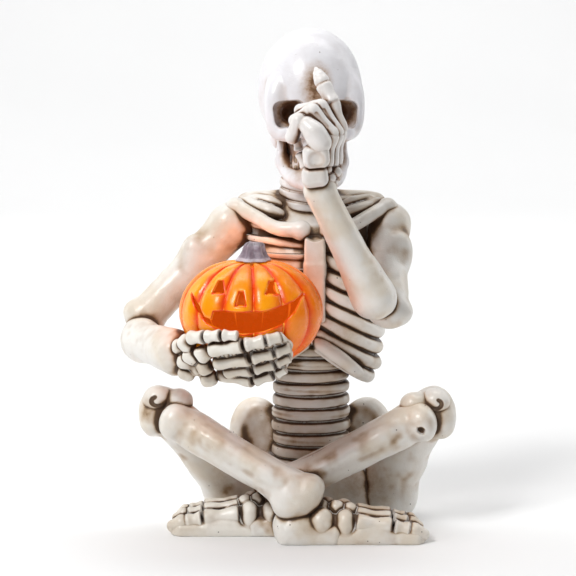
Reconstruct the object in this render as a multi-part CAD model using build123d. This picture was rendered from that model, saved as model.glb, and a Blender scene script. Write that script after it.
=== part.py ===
from build123d import *
import math
import os

# A cast-resin skeleton sits cross-legged, holds a lit jack-o'-lantern and hushes with one raised finger.
# Millimetres. x = 0 is the figure's midline until the last step, -Y is its front and z = 0 the table.
# "right" and "left" are the figure's own sides: right is -X.

# ---- Driving dimensions -------------------------------------------------------------------------
HEIGHT = 152.4
SPINE_Y = 6.0
CONTACT = 0.9  # a bone starts inside its neighbour's knob at this share of the knob's radius

CRANIUM = (15.6, 18.5, 18.9)  # half width, half depth, half height
HEAD = (-0.4, -1.0, HEIGHT - CRANIUM[2])
HEAD_TURN = 6.0  # degrees towards the figure's left
ORBIT_X, ORBIT_Z, ORBIT_R = 8.4, -6.0, 4.1
JAW = (10.6, 14.5)  # half width and half depth of the jaw's outer line
JAW_BOTTOM, JAW_TOP, JAW_WALL = -28.2, -22.6, 3.0
TEETH_TOP, BITE, TEETH = -19.2, -21.0, 10

NECK_BASE, NECK_PITCH, NECK_DISCS, NECK_R = 96.8, 3.1, 6, (9.2, 8.0)
LUMBAR_BASE, LUMBAR_PITCH, LUMBAR_DISCS, LUMBAR_R = 15.4, 4.0, 11, (12.1, 10.0)
GROOVE = 1.1  # rounding that leaves a groove between two vertebrae

# Height, half width, front and back of the chest casting's sections.
CHEST = [
    (40, 14.0, -6.5, 11.5),
    (48, 19.5, -10.5, 15.5),
    (60, 20.8, -13.0, 18.0),
    (73, 20.6, -13.5, 18.5),
    (84, 19.8, -12.0, 17.0),
    (93, 18.8, -8.0, 15.0),
    (98, 17.5, -1.0, 14.0),
    (101.5, 13.0, 4.5, 13.0),
]
RIBS, RIB_TOP, RIB_PITCH, RIB_R = 8, 89.5, 4.55, 1.75
RIB_SLOPE, SLOPE_STEP = 24.0, 1.5  # degrees that the first rib falls, and how much more each next one does
STERNUM = (7.0, 2.6, 66.0, 90.5)  # width, thickness, bottom and top

SHOULDER_R, ELBOW_R, WRIST_R = (-24.3, 4.0, 92.0), (-51.5, -2.0, 64.0), (-41.0, -32.5, 58.0)
SHOULDER_L, ELBOW_L, WRIST_L = (23.3, 4.0, 92.0), (23.4, -19.0, 68.5), (2.1, -35.5, 106.4)
FOREARM_START_R, FOREARM_START_L = (-52.3, -8.0, 58.0), (18.2, -27.0, 74.0)
HIP_X, HIP_Y, HIP_Z = 23.5, 7.0, 9.5
KNEE_R, KNEE_L = (-46.0, -8.0, 37.5), (37.2, -8.0, 37.5)
SHIN_START_R, SHIN_START_L = (-40.2, -14.5, 33.8), (31.8, -14.0, 34.4)
ANKLE_R, ANKLE_L = (-3.0, -28.0, 13.5), (-9.5, -14.5, 12.2)
FOOT_LINE_R, FOOT_LINE_L = -25.5, -15.0  # y of each foot's middle

PUMPKIN, PUMPKIN_AT, PUMPKIN_WALL = (21.3, 20.0, 16.3), (-18.0, -33.0, 70.5), 2.6
FACE_TURN = -6.0  # the carved face looks this far to the figure's right, in degrees
FINGER_LIFT = 2.1  # finger axes above the pumpkin's skin

BOX = (34.0, 18.0, 15.4)  # battery box, outside
BOX_AT_Y, BOX_WALL = 12.0, 1.2
DOOR_RECESS, DOOR_THICK, PLAY = 0.4, 1.2, 0.2
CELL_R, CELL_H, CELLS = 5.8, 5.4, 3
SCREW_R = 0.85
LEAD_R, LEAD_GAP, CHANNEL_R, LEAD_BEND = 0.5, 1.3, 1.8, 6.0
LEAD_Z = 76.0
LED_R, LED_LENGTH, LAMP_X, LAMP_Y = 2.5, 8.6, -8.5, -15.2

RIGHT, LEFT = -1, 1
parts = {}
standing = []  # every solid so far, with the corners of its box


# ---- Shapes ---------------------------------------------------------------------------------------
def towards(start, end):
    """The place of a solid built along +Z, moved to start and turned to point at end."""
    return Plane(origin=start, z_dir=Vector(*end) - Vector(*start)).location


def bone(start, end, r_start, r_shaft, r_end):
    """A dumbbell round the line from start to end: two rounded knobs and a waisted shaft."""
    length = (Vector(*end) - Vector(*start)).length
    waist = [(length * share, r_shaft) for share in (0.33, 0.62)]
    with BuildPart() as made:
        with BuildSketch(Plane.XZ):
            with BuildLine():
                Line((0, -r_start), (0, length + r_end))
                near = r_start * math.sqrt(0.5)
                far = r_end * math.sqrt(0.5)
                ThreePointArc((0, -r_start), (near, -near), (r_start, 0))
                ThreePointArc((r_end, length), (far, length + far), (0, length + r_end))
                points = [(r_start, 0)] + [(r, z) for z, r in waist] + [(r_end, length)]
                Spline(*points, tangents=((0, 1), (0, 1)))
            make_face()
        revolve(axis=Axis.Z)
    return towards(start, end) * made.part


def ellipsoid(at, radii, turn=(0, 0, 0)):
    return Pos(*at) * Rot(*turn) * scale(Sphere(1), by=radii)


def disc(at, radii, height, rounding):
    """An oval vertebra standing on at, with both rims rounded."""
    made = extrude(Ellipse(*radii), height)
    rims = made.edges().filter_by_position(Axis.Z, 0, 0) + made.edges().filter_by_position(Axis.Z, height, height)
    return Pos(*at) * fillet(rims, rounding)


def box_between(low, high):
    size = [b - a for a, b in zip(low, high)]
    middle = [(a + b) / 2 for a, b in zip(low, high)]
    return Pos(*middle) * Box(*size)


def tube(points, radius, bend):
    path = FilletPolyline(*points, radius=bend)
    return sweep(Plane(origin=path @ 0, z_dir=path % 0) * Circle(radius), path=path)


def chain(points, radii):
    """Bones from point to point; each starts inside the knob of the one before."""
    made = []
    for i, (start, end) in enumerate(zip(points, points[1:])):
        r_start, r_end = radii[i] * CONTACT, radii[i + 1]
        made.append(bone(start, end, r_start, min(r_start, r_end) * 0.8, r_end))
    return made


def biggest(shape):
    return max(shape.solids(), key=lambda solid: solid.volume)


def corners(shape):
    box = shape.bounding_box()
    return tuple(box.min), tuple(box.max)


def cut_back(solid, others):
    """The solid without what the others fill: one cut, or one after another where that one fails."""
    try:
        whole = biggest(solid - others) if others else solid
        if whole.is_valid:
            return whole
    except ValueError:
        pass
    for other in others:
        solid = biggest(solid - other)
    return solid


def add(name, *solids):
    """Adds a node. Each of its solids is cut back to whatever stands there already, so that they meet."""
    parts[name] = []
    for solid in solids:
        low, high = corners(solid)
        others = [s for s, (a, b) in standing if all(low[i] < b[i] and a[i] < high[i] for i in range(3))]
        piece = cut_back(solid, others)
        standing.append((piece, corners(piece)))
        parts[name].append(piece)


def on_table(solid):
    """Cuts off whatever would be below the table, which leaves a flat sole."""
    return biggest(solid - box_between((-90, -90, -40), (90, 90, 0)))


def in_head(point):
    """From the head's own frame, whose origin is the middle of the cranium, to the figure's."""
    return Vector(*HEAD) + Vector(*point).rotate(Axis.Z, HEAD_TURN)


def head_place():
    return Pos(*HEAD) * Rot(0, 0, HEAD_TURN)


# ---- Battery box and lamp ---------------------------------------------------------------------------
def lead_route(shift):
    """Up the spine's channel from the box, then forward into the back of the pumpkin."""
    return [
        (shift, BOX_AT_Y - 5.0, BOX[2]),
        (shift, BOX_AT_Y - 5.0, LEAD_Z),
        (LAMP_X + shift, LAMP_Y, LEAD_Z),
    ]


def box_parts():
    """The box, its door, screw, cells, contacts and switch knob, as a dict of lists."""
    half_x, half_y, top = BOX[0] / 2, BOX[1] / 2, BOX[2]
    floor_z = DOOR_RECESS + DOOR_THICK
    low, high = (-half_x, BOX_AT_Y - half_y), (half_x, BOX_AT_Y + half_y)
    bay = (-half_x + BOX_WALL + 7.0, half_x - BOX_WALL - 5.6)  # cell bay, from the switch bay to the screw boss
    y_in = (low[1] + BOX_WALL, high[1] - BOX_WALL)
    case = box_between((low[0], low[1], DOOR_RECESS), (high[0], high[1], top))
    case -= box_between((bay[0], y_in[0], -1), (bay[1], y_in[1], top - BOX_WALL))
    case -= box_between((low[0] + BOX_WALL, y_in[0], floor_z), (bay[0] - 1.0, y_in[1], top - BOX_WALL))
    door_x = (bay[0], high[0] - BOX_WALL)
    case -= box_between((door_x[0], y_in[0], -1), (door_x[1], y_in[1], floor_z))
    screw_x = (bay[1] + door_x[1]) / 2
    case -= Pos(screw_x, BOX_AT_Y, floor_z + 3.5) * Cylinder(SCREW_R + 0.08, 7.4)
    slot_x = (low[0] + BOX_WALL + 1.0, bay[0] - 2.0)
    case -= box_between((slot_x[0], BOX_AT_Y - 1.4, -1), (slot_x[1], BOX_AT_Y + 1.4, floor_z + 1))
    case -= Pos(0, BOX_AT_Y - 5.0, top) * Box(4.0, 2.4, 4 * BOX_WALL)  # leads' way out

    door = box_between(
        (door_x[0] + PLAY, y_in[0] + PLAY, DOOR_RECESS), (door_x[1] - PLAY, y_in[1] - PLAY, floor_z - 0.05)
    )
    door -= Pos(screw_x, BOX_AT_Y, floor_z) * Cylinder(SCREW_R + 0.08, 6)
    door -= Pos(screw_x, BOX_AT_Y, DOOR_RECESS) * Cylinder(1.88, 1.4)
    head = Pos(screw_x, BOX_AT_Y, DOOR_RECESS + 0.4) * Cylinder(1.8, 0.5)
    shank = Pos(screw_x, BOX_AT_Y, DOOR_RECESS + 3.4) * Cylinder(SCREW_R, 6.0)
    cross = sum(
        (Pos(screw_x, BOX_AT_Y, DOOR_RECESS) * Rot(0, 0, a) * Box(2.2, 0.5, 0.9) for a in (0, 90)), Part()
    )
    screw = head + shank - cross

    centre_z = floor_z + 0.1 + CELL_R
    first = bay[0] + 0.4
    cells = [
        Pos(first + (i + 0.5) * CELL_H, BOX_AT_Y + 1.6, centre_z) * Rot(0, 90, 0) * Cylinder(CELL_R, CELL_H - 0.02)
        for i in range(CELLS)
    ]
    plate = box_between((bay[0], BOX_AT_Y - 3, floor_z + 2), (bay[0] + 0.35, BOX_AT_Y + 6, top - 2.5))
    coil_x = first + CELLS * CELL_H + 0.25
    line = Pos(coil_x, BOX_AT_Y + 1.6, centre_z) * Rot(0, 90, 0) * Helix(0.75, bay[1] - 0.3 - coil_x, 2.6)
    spring = sweep(Plane(origin=line @ 0, z_dir=line % 0) * Circle(0.22), path=line)
    spring += box_between((bay[1] - 0.35, BOX_AT_Y - 3, floor_z + 2), (bay[1], BOX_AT_Y + 6, top - 2.5))
    knob = box_between((slot_x[0] + PLAY, BOX_AT_Y - 1.2, DOOR_RECESS + 0.2), (slot_x[0] + 2.0, BOX_AT_Y + 1.2, 4.5))
    knob += box_between((slot_x[0] - 0.4, BOX_AT_Y - 2.6, floor_z + 0.1), (slot_x[0] + 3.0, BOX_AT_Y + 2.6, 4.5))
    return {
        "battery_box": [case],
        "battery_door": [door],
        "door_screw": [screw],
        "button_cells": cells,
        "battery_contacts": [plate, spring],
        "switch_knob": [knob],
    }


def lamp():
    """A 5 mm lamp that stands in the back wall of the pumpkin and points at its mouth."""
    route = lead_route(0)
    tip = Vector(*route[-1])
    place = Pos(tip.X, tip.Y, tip.Z) * Rot(90, 0, 0)
    body = Pos(0, 0, LED_LENGTH / 2 - LED_R / 2) * Cylinder(LED_R, LED_LENGTH - LED_R)
    dome = Pos(0, 0, LED_LENGTH - LED_R) * Sphere(LED_R)
    return place * (body + dome + Pos(0, 0, 0.5) * Cylinder(LED_R + 0.4, 1.0))


# ---- Pumpkin ----------------------------------------------------------------------------------------
def skin_point(longitude, latitude, lift=FINGER_LIFT):
    """A point lift above the pumpkin's skin. Longitude 0 faces the front and grows to the figure's left."""
    lon, lat = math.radians(longitude), math.radians(latitude)
    direction = (math.sin(lon) * math.cos(lat), -math.cos(lon) * math.cos(lat), math.sin(lat))
    return tuple(c + (r + lift) * d for c, r, d in zip(PUMPKIN_AT, PUMPKIN, direction))


def carving():
    """Prisms through the front wall: two eyes, a nose and a wide smile, in the pumpkin's own frame."""
    depth = PUMPKIN[1] * 1.6
    cuts = []
    for side in (RIGHT, LEFT):
        x = side * 7.7
        cuts.append(Polygon((x - 1.9, 7.0), (x + 1.9, 7.0), (x - side * 0.9, 11.2), align=None))
    cuts.append(Polygon((-2.5, 4.6), (0.7, 4.6), (-0.9, 8.2), align=None))
    with BuildSketch() as smile:
        with BuildLine():
            ThreePointArc((-16.0, 6.0), (0, -3.4), (16.0, 6.0))
            ThreePointArc((-16.0, 6.0), (0, 2.4), (16.0, 6.0))
        make_face()
    cuts.append(smile.sketch)
    front = Plane(origin=(0, 0, 0), x_dir=(1, 0, 0), z_dir=(0, -1, 0))
    return [extrude(front * cut, depth) for cut in cuts]


def pumpkin_shell():
    inner = tuple(r - PUMPKIN_WALL for r in PUMPKIN)
    shell = scale(Sphere(1), by=PUMPKIN) - scale(Sphere(1), by=inner)
    for cut in carving():
        shell -= cut
    return Pos(*PUMPKIN_AT) * Rot(0, 0, FACE_TURN) * shell


def lamp_holder():
    """A collar round the lamp's foot that closes the gap between the pumpkin's back and the ribs."""
    return Pos(LAMP_X, LAMP_Y + 1.5, LEAD_Z) * Rot(90, 0, 0) * Cylinder(4.2, 5.0)


def pumpkin_stem():
    base = (PUMPKIN_AT[0] + 0.6, PUMPKIN_AT[1], PUMPKIN_AT[2] + PUMPKIN[2] - 1.0)
    bottom = Pos(*base) * Circle(4.6)
    middle = Pos(base[0] + 0.2, base[1], base[2] + 2.6) * Circle(3.3)
    top = Pos(base[0] + 0.5, base[1], base[2] + 5.0) * Circle(2.7)
    return loft([bottom, middle, top])


# ---- Head and neck ------------------------------------------------------------------------------------
def skull():
    cranium = scale(Sphere(1), by=CRANIUM)
    upper_jaw = loft([
        Pos(0, -8.0, -19.0) * Ellipse(8.6, 11.0),
        Pos(0, -8.0, -13.0) * Ellipse(9.8, 11.5),
        Pos(0, -7.0, -4.0) * Ellipse(12.6, 11.5),
    ])
    head = cranium + upper_jaw
    for side in (RIGHT, LEFT):
        cheek = bone((side * 10.9, -3, -11.6), (side * 9.0, -14.5, -12.0), 1.8, 1.5, 2.4)
        head += cheek
        head -= ellipsoid((side * ORBIT_X, -17.5, ORBIT_Z), (ORBIT_R * 1.05, 6.0, ORBIT_R))
    nose = ellipsoid((0, -19.5, -12.8), (2.2, 4.0, 3.4))
    return head_place() * (head - nose)


def mandible():
    outer = Pos(0, -6.5, JAW_BOTTOM) * extrude(Ellipse(*JAW), JAW_TOP - JAW_BOTTOM)
    inner = Pos(0, -6.5, JAW_BOTTOM - 1) * extrude(Ellipse(JAW[0] - JAW_WALL, JAW[1] - JAW_WALL), 10)
    arch = outer - inner - box_between((-20, -5, -40), (20, 20, 0))
    arch = arch.solids()[0]
    for side in (RIGHT, LEFT):
        arch += bone((side * 9.0, -5.2, JAW_BOTTOM + 3.0), (side * 9.6, -0.5, -13.5), 2.8, 2.1, 1.7)
    return head_place() * arch


def teeth(top, bottom, reach):
    """A row of teeth on the dental arch, from the last one on the right round to the left."""
    row = []
    for i in range(TEETH):
        angle = math.radians(-64 + 128 * i / (TEETH - 1))
        at = (reach[0] * math.sin(angle), -8.0 - reach[1] * math.cos(angle), (top + bottom) / 2)
        row.append(head_place() * Pos(*at) * Rot(0, 0, math.degrees(angle)) * Box(1.7, 1.6, top - bottom))
    return row


def neck_discs():
    share = 1 / (NECK_DISCS - 1)
    return [
        disc(
            (-0.9, SPINE_Y - 3.5 * i * share, NECK_BASE + i * NECK_PITCH),
            (NECK_R[0] - 0.6 * i * share, NECK_R[1] - 0.6 * i * share),
            NECK_PITCH,
            0.8,
        )
        for i in range(NECK_DISCS)
    ]


# ---- Trunk --------------------------------------------------------------------------------------------
def chest_point(angle, z):
    """A point on the chest casting's skin; angle -90 is its front, 0 its left side and 90 its back."""
    below = max([section for section in CHEST[:-1] if section[0] <= z] or CHEST[:1])
    above = CHEST[CHEST.index(below) + 1]
    share = (z - below[0]) / (above[0] - below[0])
    half, front, back = (lo + (hi - lo) * share for lo, hi in zip(below[1:], above[1:]))
    a = math.radians(angle)
    return half * math.cos(a), (front + back) / 2 + (back - front) / 2 * math.sin(a), z


def chest_casting():
    sections = [Pos(0, (front + back) / 2, z) * Ellipse(half, (back - front) / 2) for z, half, front, back in CHEST]
    body = loft(sections)
    drop = math.tan(math.radians(RIB_SLOPE + SLOPE_STEP * (RIBS - 1)))
    last = RIB_TOP - (RIBS - 1) * RIB_PITCH - RIB_R * 0.6
    outline = [(0, last), (40, last - 40 * drop), (40, 20), (-40, 20), (-40, last - 40 * drop)]
    with BuildPart() as belly:
        with BuildSketch(Plane.XZ):
            Polygon(*outline, align=None)
        extrude(amount=60, both=True)
    return body - belly.part


def rib(number, side):
    """Half a hoop on the chest's skin that falls away to the side, from the breastbone round to the spine."""
    fall = math.tan(math.radians(RIB_SLOPE + SLOPE_STEP * (number - 1)))
    points = []
    for angle in range(-81, 80, 23):
        z = RIB_TOP - (number - 1) * RIB_PITCH
        for _ in range(6):
            x, y, _z = chest_point(angle, z)
            z = RIB_TOP - (number - 1) * RIB_PITCH - fall * x
        points.append((x, y, z))
    path = Spline(*points)
    left = sweep(Plane(origin=path @ 0, z_dir=path % 0) * Circle(RIB_R), path=path)
    return left if side == LEFT else mirror(left, about=Plane.YZ)


def sternum():
    width, thick, bottom, top = STERNUM
    front = chest_point(-90, 73)[1]
    plate = box_between((-width / 2, front - thick * 0.75, bottom), (width / 2, front + 6, top))
    return Pos(0.9, 0, 0) * fillet(plate.edges().filter_by(Axis.Z), 0.8)


def pelvis():
    """A seat block that takes the battery box, with a wing on each side of the spine."""
    seat = loft([
        Pos(0, BOX_AT_Y, 0) * RectangleRounded(42, 27, 6),
        Pos(0, BOX_AT_Y, 9) * RectangleRounded(40, 27, 6),
        Pos(0, BOX_AT_Y - 1, 17) * RectangleRounded(30, 21, 6),
    ])
    for side in (RIGHT, LEFT):
        seat += ellipsoid((side * 15.8, 15.5, 22.0), (8.8, 5.0, 11.8), (0, side * 8, side * 20))
    return on_table(seat)


# ---- Limbs --------------------------------------------------------------------------------------------
def shoulder_blade(side):
    """A triangular plate on the back of the chest, with the ridge that ends at the point of the shoulder."""
    outline = Polygon((-7.5, 8), (8, 7), (-2.5, -13), align=None)
    outline = fillet(outline.vertices(), 2.0)
    back = Plane(origin=(13.5, 13.0, 84.5), x_dir=(1, -0.55, 0), z_dir=(0.55, 1, 0.2))
    blade = extrude(back * outline, 3.6, both=False)
    blade += bone((7.5, 16.5, 89.0), (22.0, 7.5, 97.0), 1.9, 1.6, 3.2)
    return blade if side == LEFT else mirror(blade, about=Plane.YZ)


def collar_bone(side):
    return bone((side * 3.6 + 0.9, -12.6, 92.6), (side * 21.8, 0.5, 97.8), 2.7, 2.1, 2.4)


def foot(ankle, line_y, direction):
    """Heel block, midfoot bones and toes; direction is +1 for a foot that points to the figure's left."""
    heel_x = ankle[0] - direction * 3.5
    heel = bone((heel_x, line_y, 5.6), (ankle[0] + direction * 6.0, line_y, 6.4), 6.0, 5.8, 5.6)
    rows = ((-5.0, 1.0), (-1.6, 0.95), (1.7, 0.9), (4.8, 0.85))
    middle, toes = [], []
    for row, (aside, size) in enumerate(rows):
        y = line_y + aside
        start = (ankle[0] + direction * 8.5, y, 8.8 - abs(row - 1) * 0.8)
        knuckle = (ankle[0] + direction * 25.0, y, 6.2 - row * 0.2)
        tip = (ankle[0] + direction * (37.5 - 1.5 * row), y + 0.25 * aside, 3.6)
        middle.append(bone(start, knuckle, 3.3 * size, 2.6 * size, 3.0 * size))
        joint = (ankle[0] + direction * (31.5 - row), y + 0.1 * aside, 5.0)
        toes += chain([knuckle, joint, tip], [3.0 * size, 2.6 * size, 2.2 * size])
    sole = Pos(ankle[0] + direction * 22.5, line_y, 0) * extrude(RectangleRounded(31, 13.4, 6), 4.0)
    return on_table(heel), [sole] + [on_table(m) for m in middle], [on_table(t) for t in toes]


# ---- Hands ----------------------------------------------------------------------------------------------
# Longitude and latitude on the pumpkin of each finger's joints, from the wrist end to the tip.
HOLDING = {
    "thumb": [(-53, -18), (-35, -15), (-21, -12), (-8, -12)],
    "index": [(-35, -28), (-5, -21), (11, -17), (24, -13)],
    "middle": [(-40, -46), (0, -36), (19, -30), (34, -24)],
    "ring": [(-44, -63), (3, -53), (25, -45), (39, -36)],
}
HOLDING_LITTLE = [(-27.6, -37.0, 52.8), (-17.1, -43.5, 51.9), (-11.2, -45.4, 54.0), (-7.4, -45.9, 56.2)]
HOLDING_R = [2.3, 2.2, 2.0, 1.7]
CARPAL_R = 2.7
HOLDING_CARPALS = [
    (-38.6, -38.4, 61.0),
    (-37.0, -39.2, 57.0),
    (-36.8, -36.8, 53.2),
    (-35.2, -42.2, 58.8),
    (-36.6, -42.4, 62.6),
    (-32.0, -45.0, 60.6),
    (-31.4, -42.6, 55.8),
    (-30.4, -38.4, 51.6),
]
# The hushing hand's joints: nearest the face is the index finger, furthest the little finger.
HUSHING = {
    "little": [(0.8, -40.0, 115.6), (1.0, -40.9, 119.4), (-2.2, -40.4, 126.6), (-5.6, -38.0, 123.8)],
    "ring": [(3.8, -37.0, 113.6), (5.4, -37.2, 123.4), (-0.2, -38.2, 130.0), (-5.2, -36.2, 127.0)],
    "middle": [(5.4, -34.0, 113.4), (7.0, -34.4, 123.6), (2.2, -35.2, 131.0), (-3.6, -33.6, 129.8)],
    "index": [(6.8, -30.8, 113.4), (8.0, -31.2, 124.6), (5.8, -31.2, 131.4), (3.0, -29.4, 137.2), (1.2, -27.4, 141.0)],
    "thumb": [(-1.6, -33.6, 113.0), (-3.8, -33.4, 117.8), (-4.8, -34.0, 121.8)],
}
HUSHING_R = {"little": [3.3, 3.7, 2.9, 2.3], "thumb": [2.2, 2.1, 1.8], "index": [1.9, 2.2, 2.2, 2.1, 1.6]}
HUSHING_CARPALS = [((0.4, -38.8, 110.8), 3.4), ((4.8, -35.6, 111.0), 2.8), ((1.8, -33.0, 110.8), 2.8)]


def holding_hand():
    fingers = {name: chain([skin_point(*p) for p in joints], HOLDING_R) for name, joints in HOLDING.items()}
    fingers["little"] = chain(HOLDING_LITTLE, HOLDING_R)
    carpals = [
        Pos(*at) * Rot(31 * i, 17 * i, 0) * Sphere(CARPAL_R - 0.03 * i) for i, at in enumerate(HOLDING_CARPALS)
    ]
    palm = [fingers[name][0] for name in ("index", "middle", "ring", "little")]
    digits = [b for name in ("index", "middle", "ring", "little") for b in fingers[name][1:]]
    return carpals, palm, fingers["thumb"], digits


def hushing_hand():
    fingers = {name: chain(joints, HUSHING_R.get(name, [2.0, 2.2, 2.1, 1.9])) for name, joints in HUSHING.items()}
    carpals = [ellipsoid(at, (r, r * 0.9, r * 0.9)) for at, r in HUSHING_CARPALS]
    palm = [fingers[name][0] for name in ("little", "ring", "middle", "index")]
    curled = [b for name in ("little", "ring", "middle") for b in fingers[name][1:]]
    return carpals, palm, fingers["thumb"], fingers["index"][1:], curled


# ---- Assembly -------------------------------------------------------------------------------------------
def assemble():
    """Adds every node; the ones added first keep their whole shape."""
    leads = [tube(lead_route(shift), LEAD_R, LEAD_BEND) for shift in (-LEAD_GAP / 2, LEAD_GAP / 2)]
    channel = tube(lead_route(0), CHANNEL_R, LEAD_BEND)
    case = box_parts()
    for name, solids in case.items():
        add(name, *solids)
    led = lamp()
    add("lamp", led)
    add("red_lead", leads[0])
    add("black_lead", leads[1])

    hollow_box = box_between(
        (-BOX[0] / 2, BOX_AT_Y - BOX[1] / 2, -1), (BOX[0] / 2, BOX_AT_Y + BOX[1] / 2, BOX[2])
    )
    add("pelvis", pelvis() - hollow_box - channel)
    spine = [
        disc((0, SPINE_Y, LUMBAR_BASE + i * LUMBAR_PITCH), LUMBAR_R, LUMBAR_PITCH, GROOVE) - channel
        for i in range(LUMBAR_DISCS)
    ]
    add("lumbar_vertebrae", *spine)
    add("cervical_vertebrae", *neck_discs())
    add("chest_casting", chest_casting() - channel)

    add("skull", skull())
    add("mandible", mandible())
    add("upper_teeth", *teeth(TEETH_TOP + 0.6, BITE, (7.6, 9.6)))
    add("lower_teeth", *teeth(BITE, JAW_TOP - 0.6, (7.6, 9.6)))

    add("right_humerus", bone(SHOULDER_R, ELBOW_R, 6.8, 5.6, 6.5))
    add("left_humerus", bone(SHOULDER_L, ELBOW_L, 6.8, 5.6, 6.0))
    add("right_forearm", bone(FOREARM_START_R, WRIST_R, 6.2, 5.0, 5.6))
    add("left_forearm", bone(FOREARM_START_L, WRIST_L, 6.9, 4.9, 4.9))

    add("sternum", sternum())
    add("pumpkin_shell", pumpkin_shell() - channel)
    add("pumpkin_stem", pumpkin_stem())
    add("lamp_holder", lamp_holder() - channel)
    for number in range(1, RIBS + 1):
        add(f"rib_pair_{number}", rib(number, RIGHT) - channel, rib(number, LEFT))
    for side, name in ((RIGHT, "right"), (LEFT, "left")):
        add(f"{name}_collar_bone", collar_bone(side))
        add(f"{name}_shoulder_blade", shoulder_blade(side))

    carpals, palm, thumb, digits = holding_hand()
    add("right_carpals", *carpals)
    add("right_metacarpals", *palm)
    add("right_thumb", *thumb)
    add("right_fingers", *digits)
    carpals, palm, thumb, pointing, curled = hushing_hand()
    add("left_carpals", *carpals)
    add("left_metacarpals", *palm)
    add("left_thumb", *thumb)
    add("left_pointing_finger", *pointing)
    add("left_curled_fingers", *curled)

    legs = {
        "right": (RIGHT, KNEE_R, SHIN_START_R, ANKLE_R, FOOT_LINE_R, 1),
        "left": (LEFT, KNEE_L, SHIN_START_L, ANKLE_L, FOOT_LINE_L, -1),
    }
    for name, (side, knee, shin, ankle, line_y, direction) in legs.items():
        add(f"{name}_femur", on_table(bone((side * HIP_X, HIP_Y, HIP_Z), knee, 10.0, 7.4, 7.6)))
        add(f"{name}_tibia", bone(shin, ankle, 7.4, 5.7, 6.4))
        behind = [(p[0] + side * 0.5, p[1] + 5.2, p[2] + 3.2) for p in (shin, ankle)]
        add(f"{name}_fibula", bone(behind[0], behind[1], 2.6, 2.0, 2.4))
        cap = (knee[0] - side * 1.5, knee[1] - 7.2, knee[2] + 4.8)
        add(f"{name}_kneecap", ellipsoid(cap, (3.8, 2.6, 3.8)))
        heel, middle, toes = foot(ankle, line_y, direction)
        add(f"{name}_heel", heel)
        add(f"{name}_midfoot", *middle)
        add(f"{name}_toes", *toes)


def centre():
    """Moves the origin to the middle of the figure's box, on the table."""
    low = [min(a[i] for _, (a, b) in standing) for i in range(3)]
    high = [max(b[i] for _, (a, b) in standing) for i in range(3)]
    shift = (-(low[0] + high[0]) / 2, -(low[1] + high[1]) / 2, -low[2])
    print("size", [round(h - l, 2) for l, h in zip(low, high)], "moved by", [round(s, 3) for s in shift])
    return Pos(*shift)


if __name__ == "__main__":
    os.makedirs("parts", exist_ok=True)
    assemble()
    place = centre()
    for name, solids in parts.items():
        export_step(Compound(children=[place * solid for solid in solids]), f"parts/{name}.step")
    print(len(parts), "nodes,", sum(len(s) for s in parts.values()), "solids")
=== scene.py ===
"""A seated skeleton figurine with a lit pumpkin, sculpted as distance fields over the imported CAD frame."""
import math

import bpy
import numpy as np
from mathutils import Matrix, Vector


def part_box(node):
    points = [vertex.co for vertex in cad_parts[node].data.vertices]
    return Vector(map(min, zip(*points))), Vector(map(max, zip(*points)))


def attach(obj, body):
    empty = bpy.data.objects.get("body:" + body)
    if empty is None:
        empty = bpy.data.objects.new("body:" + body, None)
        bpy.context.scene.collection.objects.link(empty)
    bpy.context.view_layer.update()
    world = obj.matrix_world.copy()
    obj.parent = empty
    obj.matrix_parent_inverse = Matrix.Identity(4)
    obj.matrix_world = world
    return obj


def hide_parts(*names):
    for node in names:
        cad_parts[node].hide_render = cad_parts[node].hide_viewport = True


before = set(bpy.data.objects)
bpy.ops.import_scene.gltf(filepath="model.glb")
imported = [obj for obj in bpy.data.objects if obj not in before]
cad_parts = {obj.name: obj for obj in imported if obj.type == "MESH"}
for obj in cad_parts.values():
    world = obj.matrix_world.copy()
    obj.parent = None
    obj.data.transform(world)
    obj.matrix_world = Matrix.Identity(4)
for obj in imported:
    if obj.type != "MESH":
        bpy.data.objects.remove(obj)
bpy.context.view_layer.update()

import openvdb
from mathutils import Matrix, Vector

# ---- Frame ----------------------------------------------------------------------------------------
# Everything is sculpted in millimetres with x = 0 on the figure's midline, like the CAD source, and
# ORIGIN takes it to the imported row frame.
spine_low, spine_high = [np.array(corner) * 1000 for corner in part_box("lumbar_vertebrae")]
ORIGIN = np.array([(spine_low[0] + spine_high[0]) / 2, (spine_low[1] + spine_high[1]) / 2 - 6.0, 0.0])

COARSE = 0.4  # voxel of the whole figure's field, which the paint reads
FINE = 0.2  # voxel of the pieces with small relief
FAR = 5.0  # distances are kept up to this far from a surface
RIGHT, LEFT = -1, 1


def vec(*values):
    return np.array(values, float)


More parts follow.
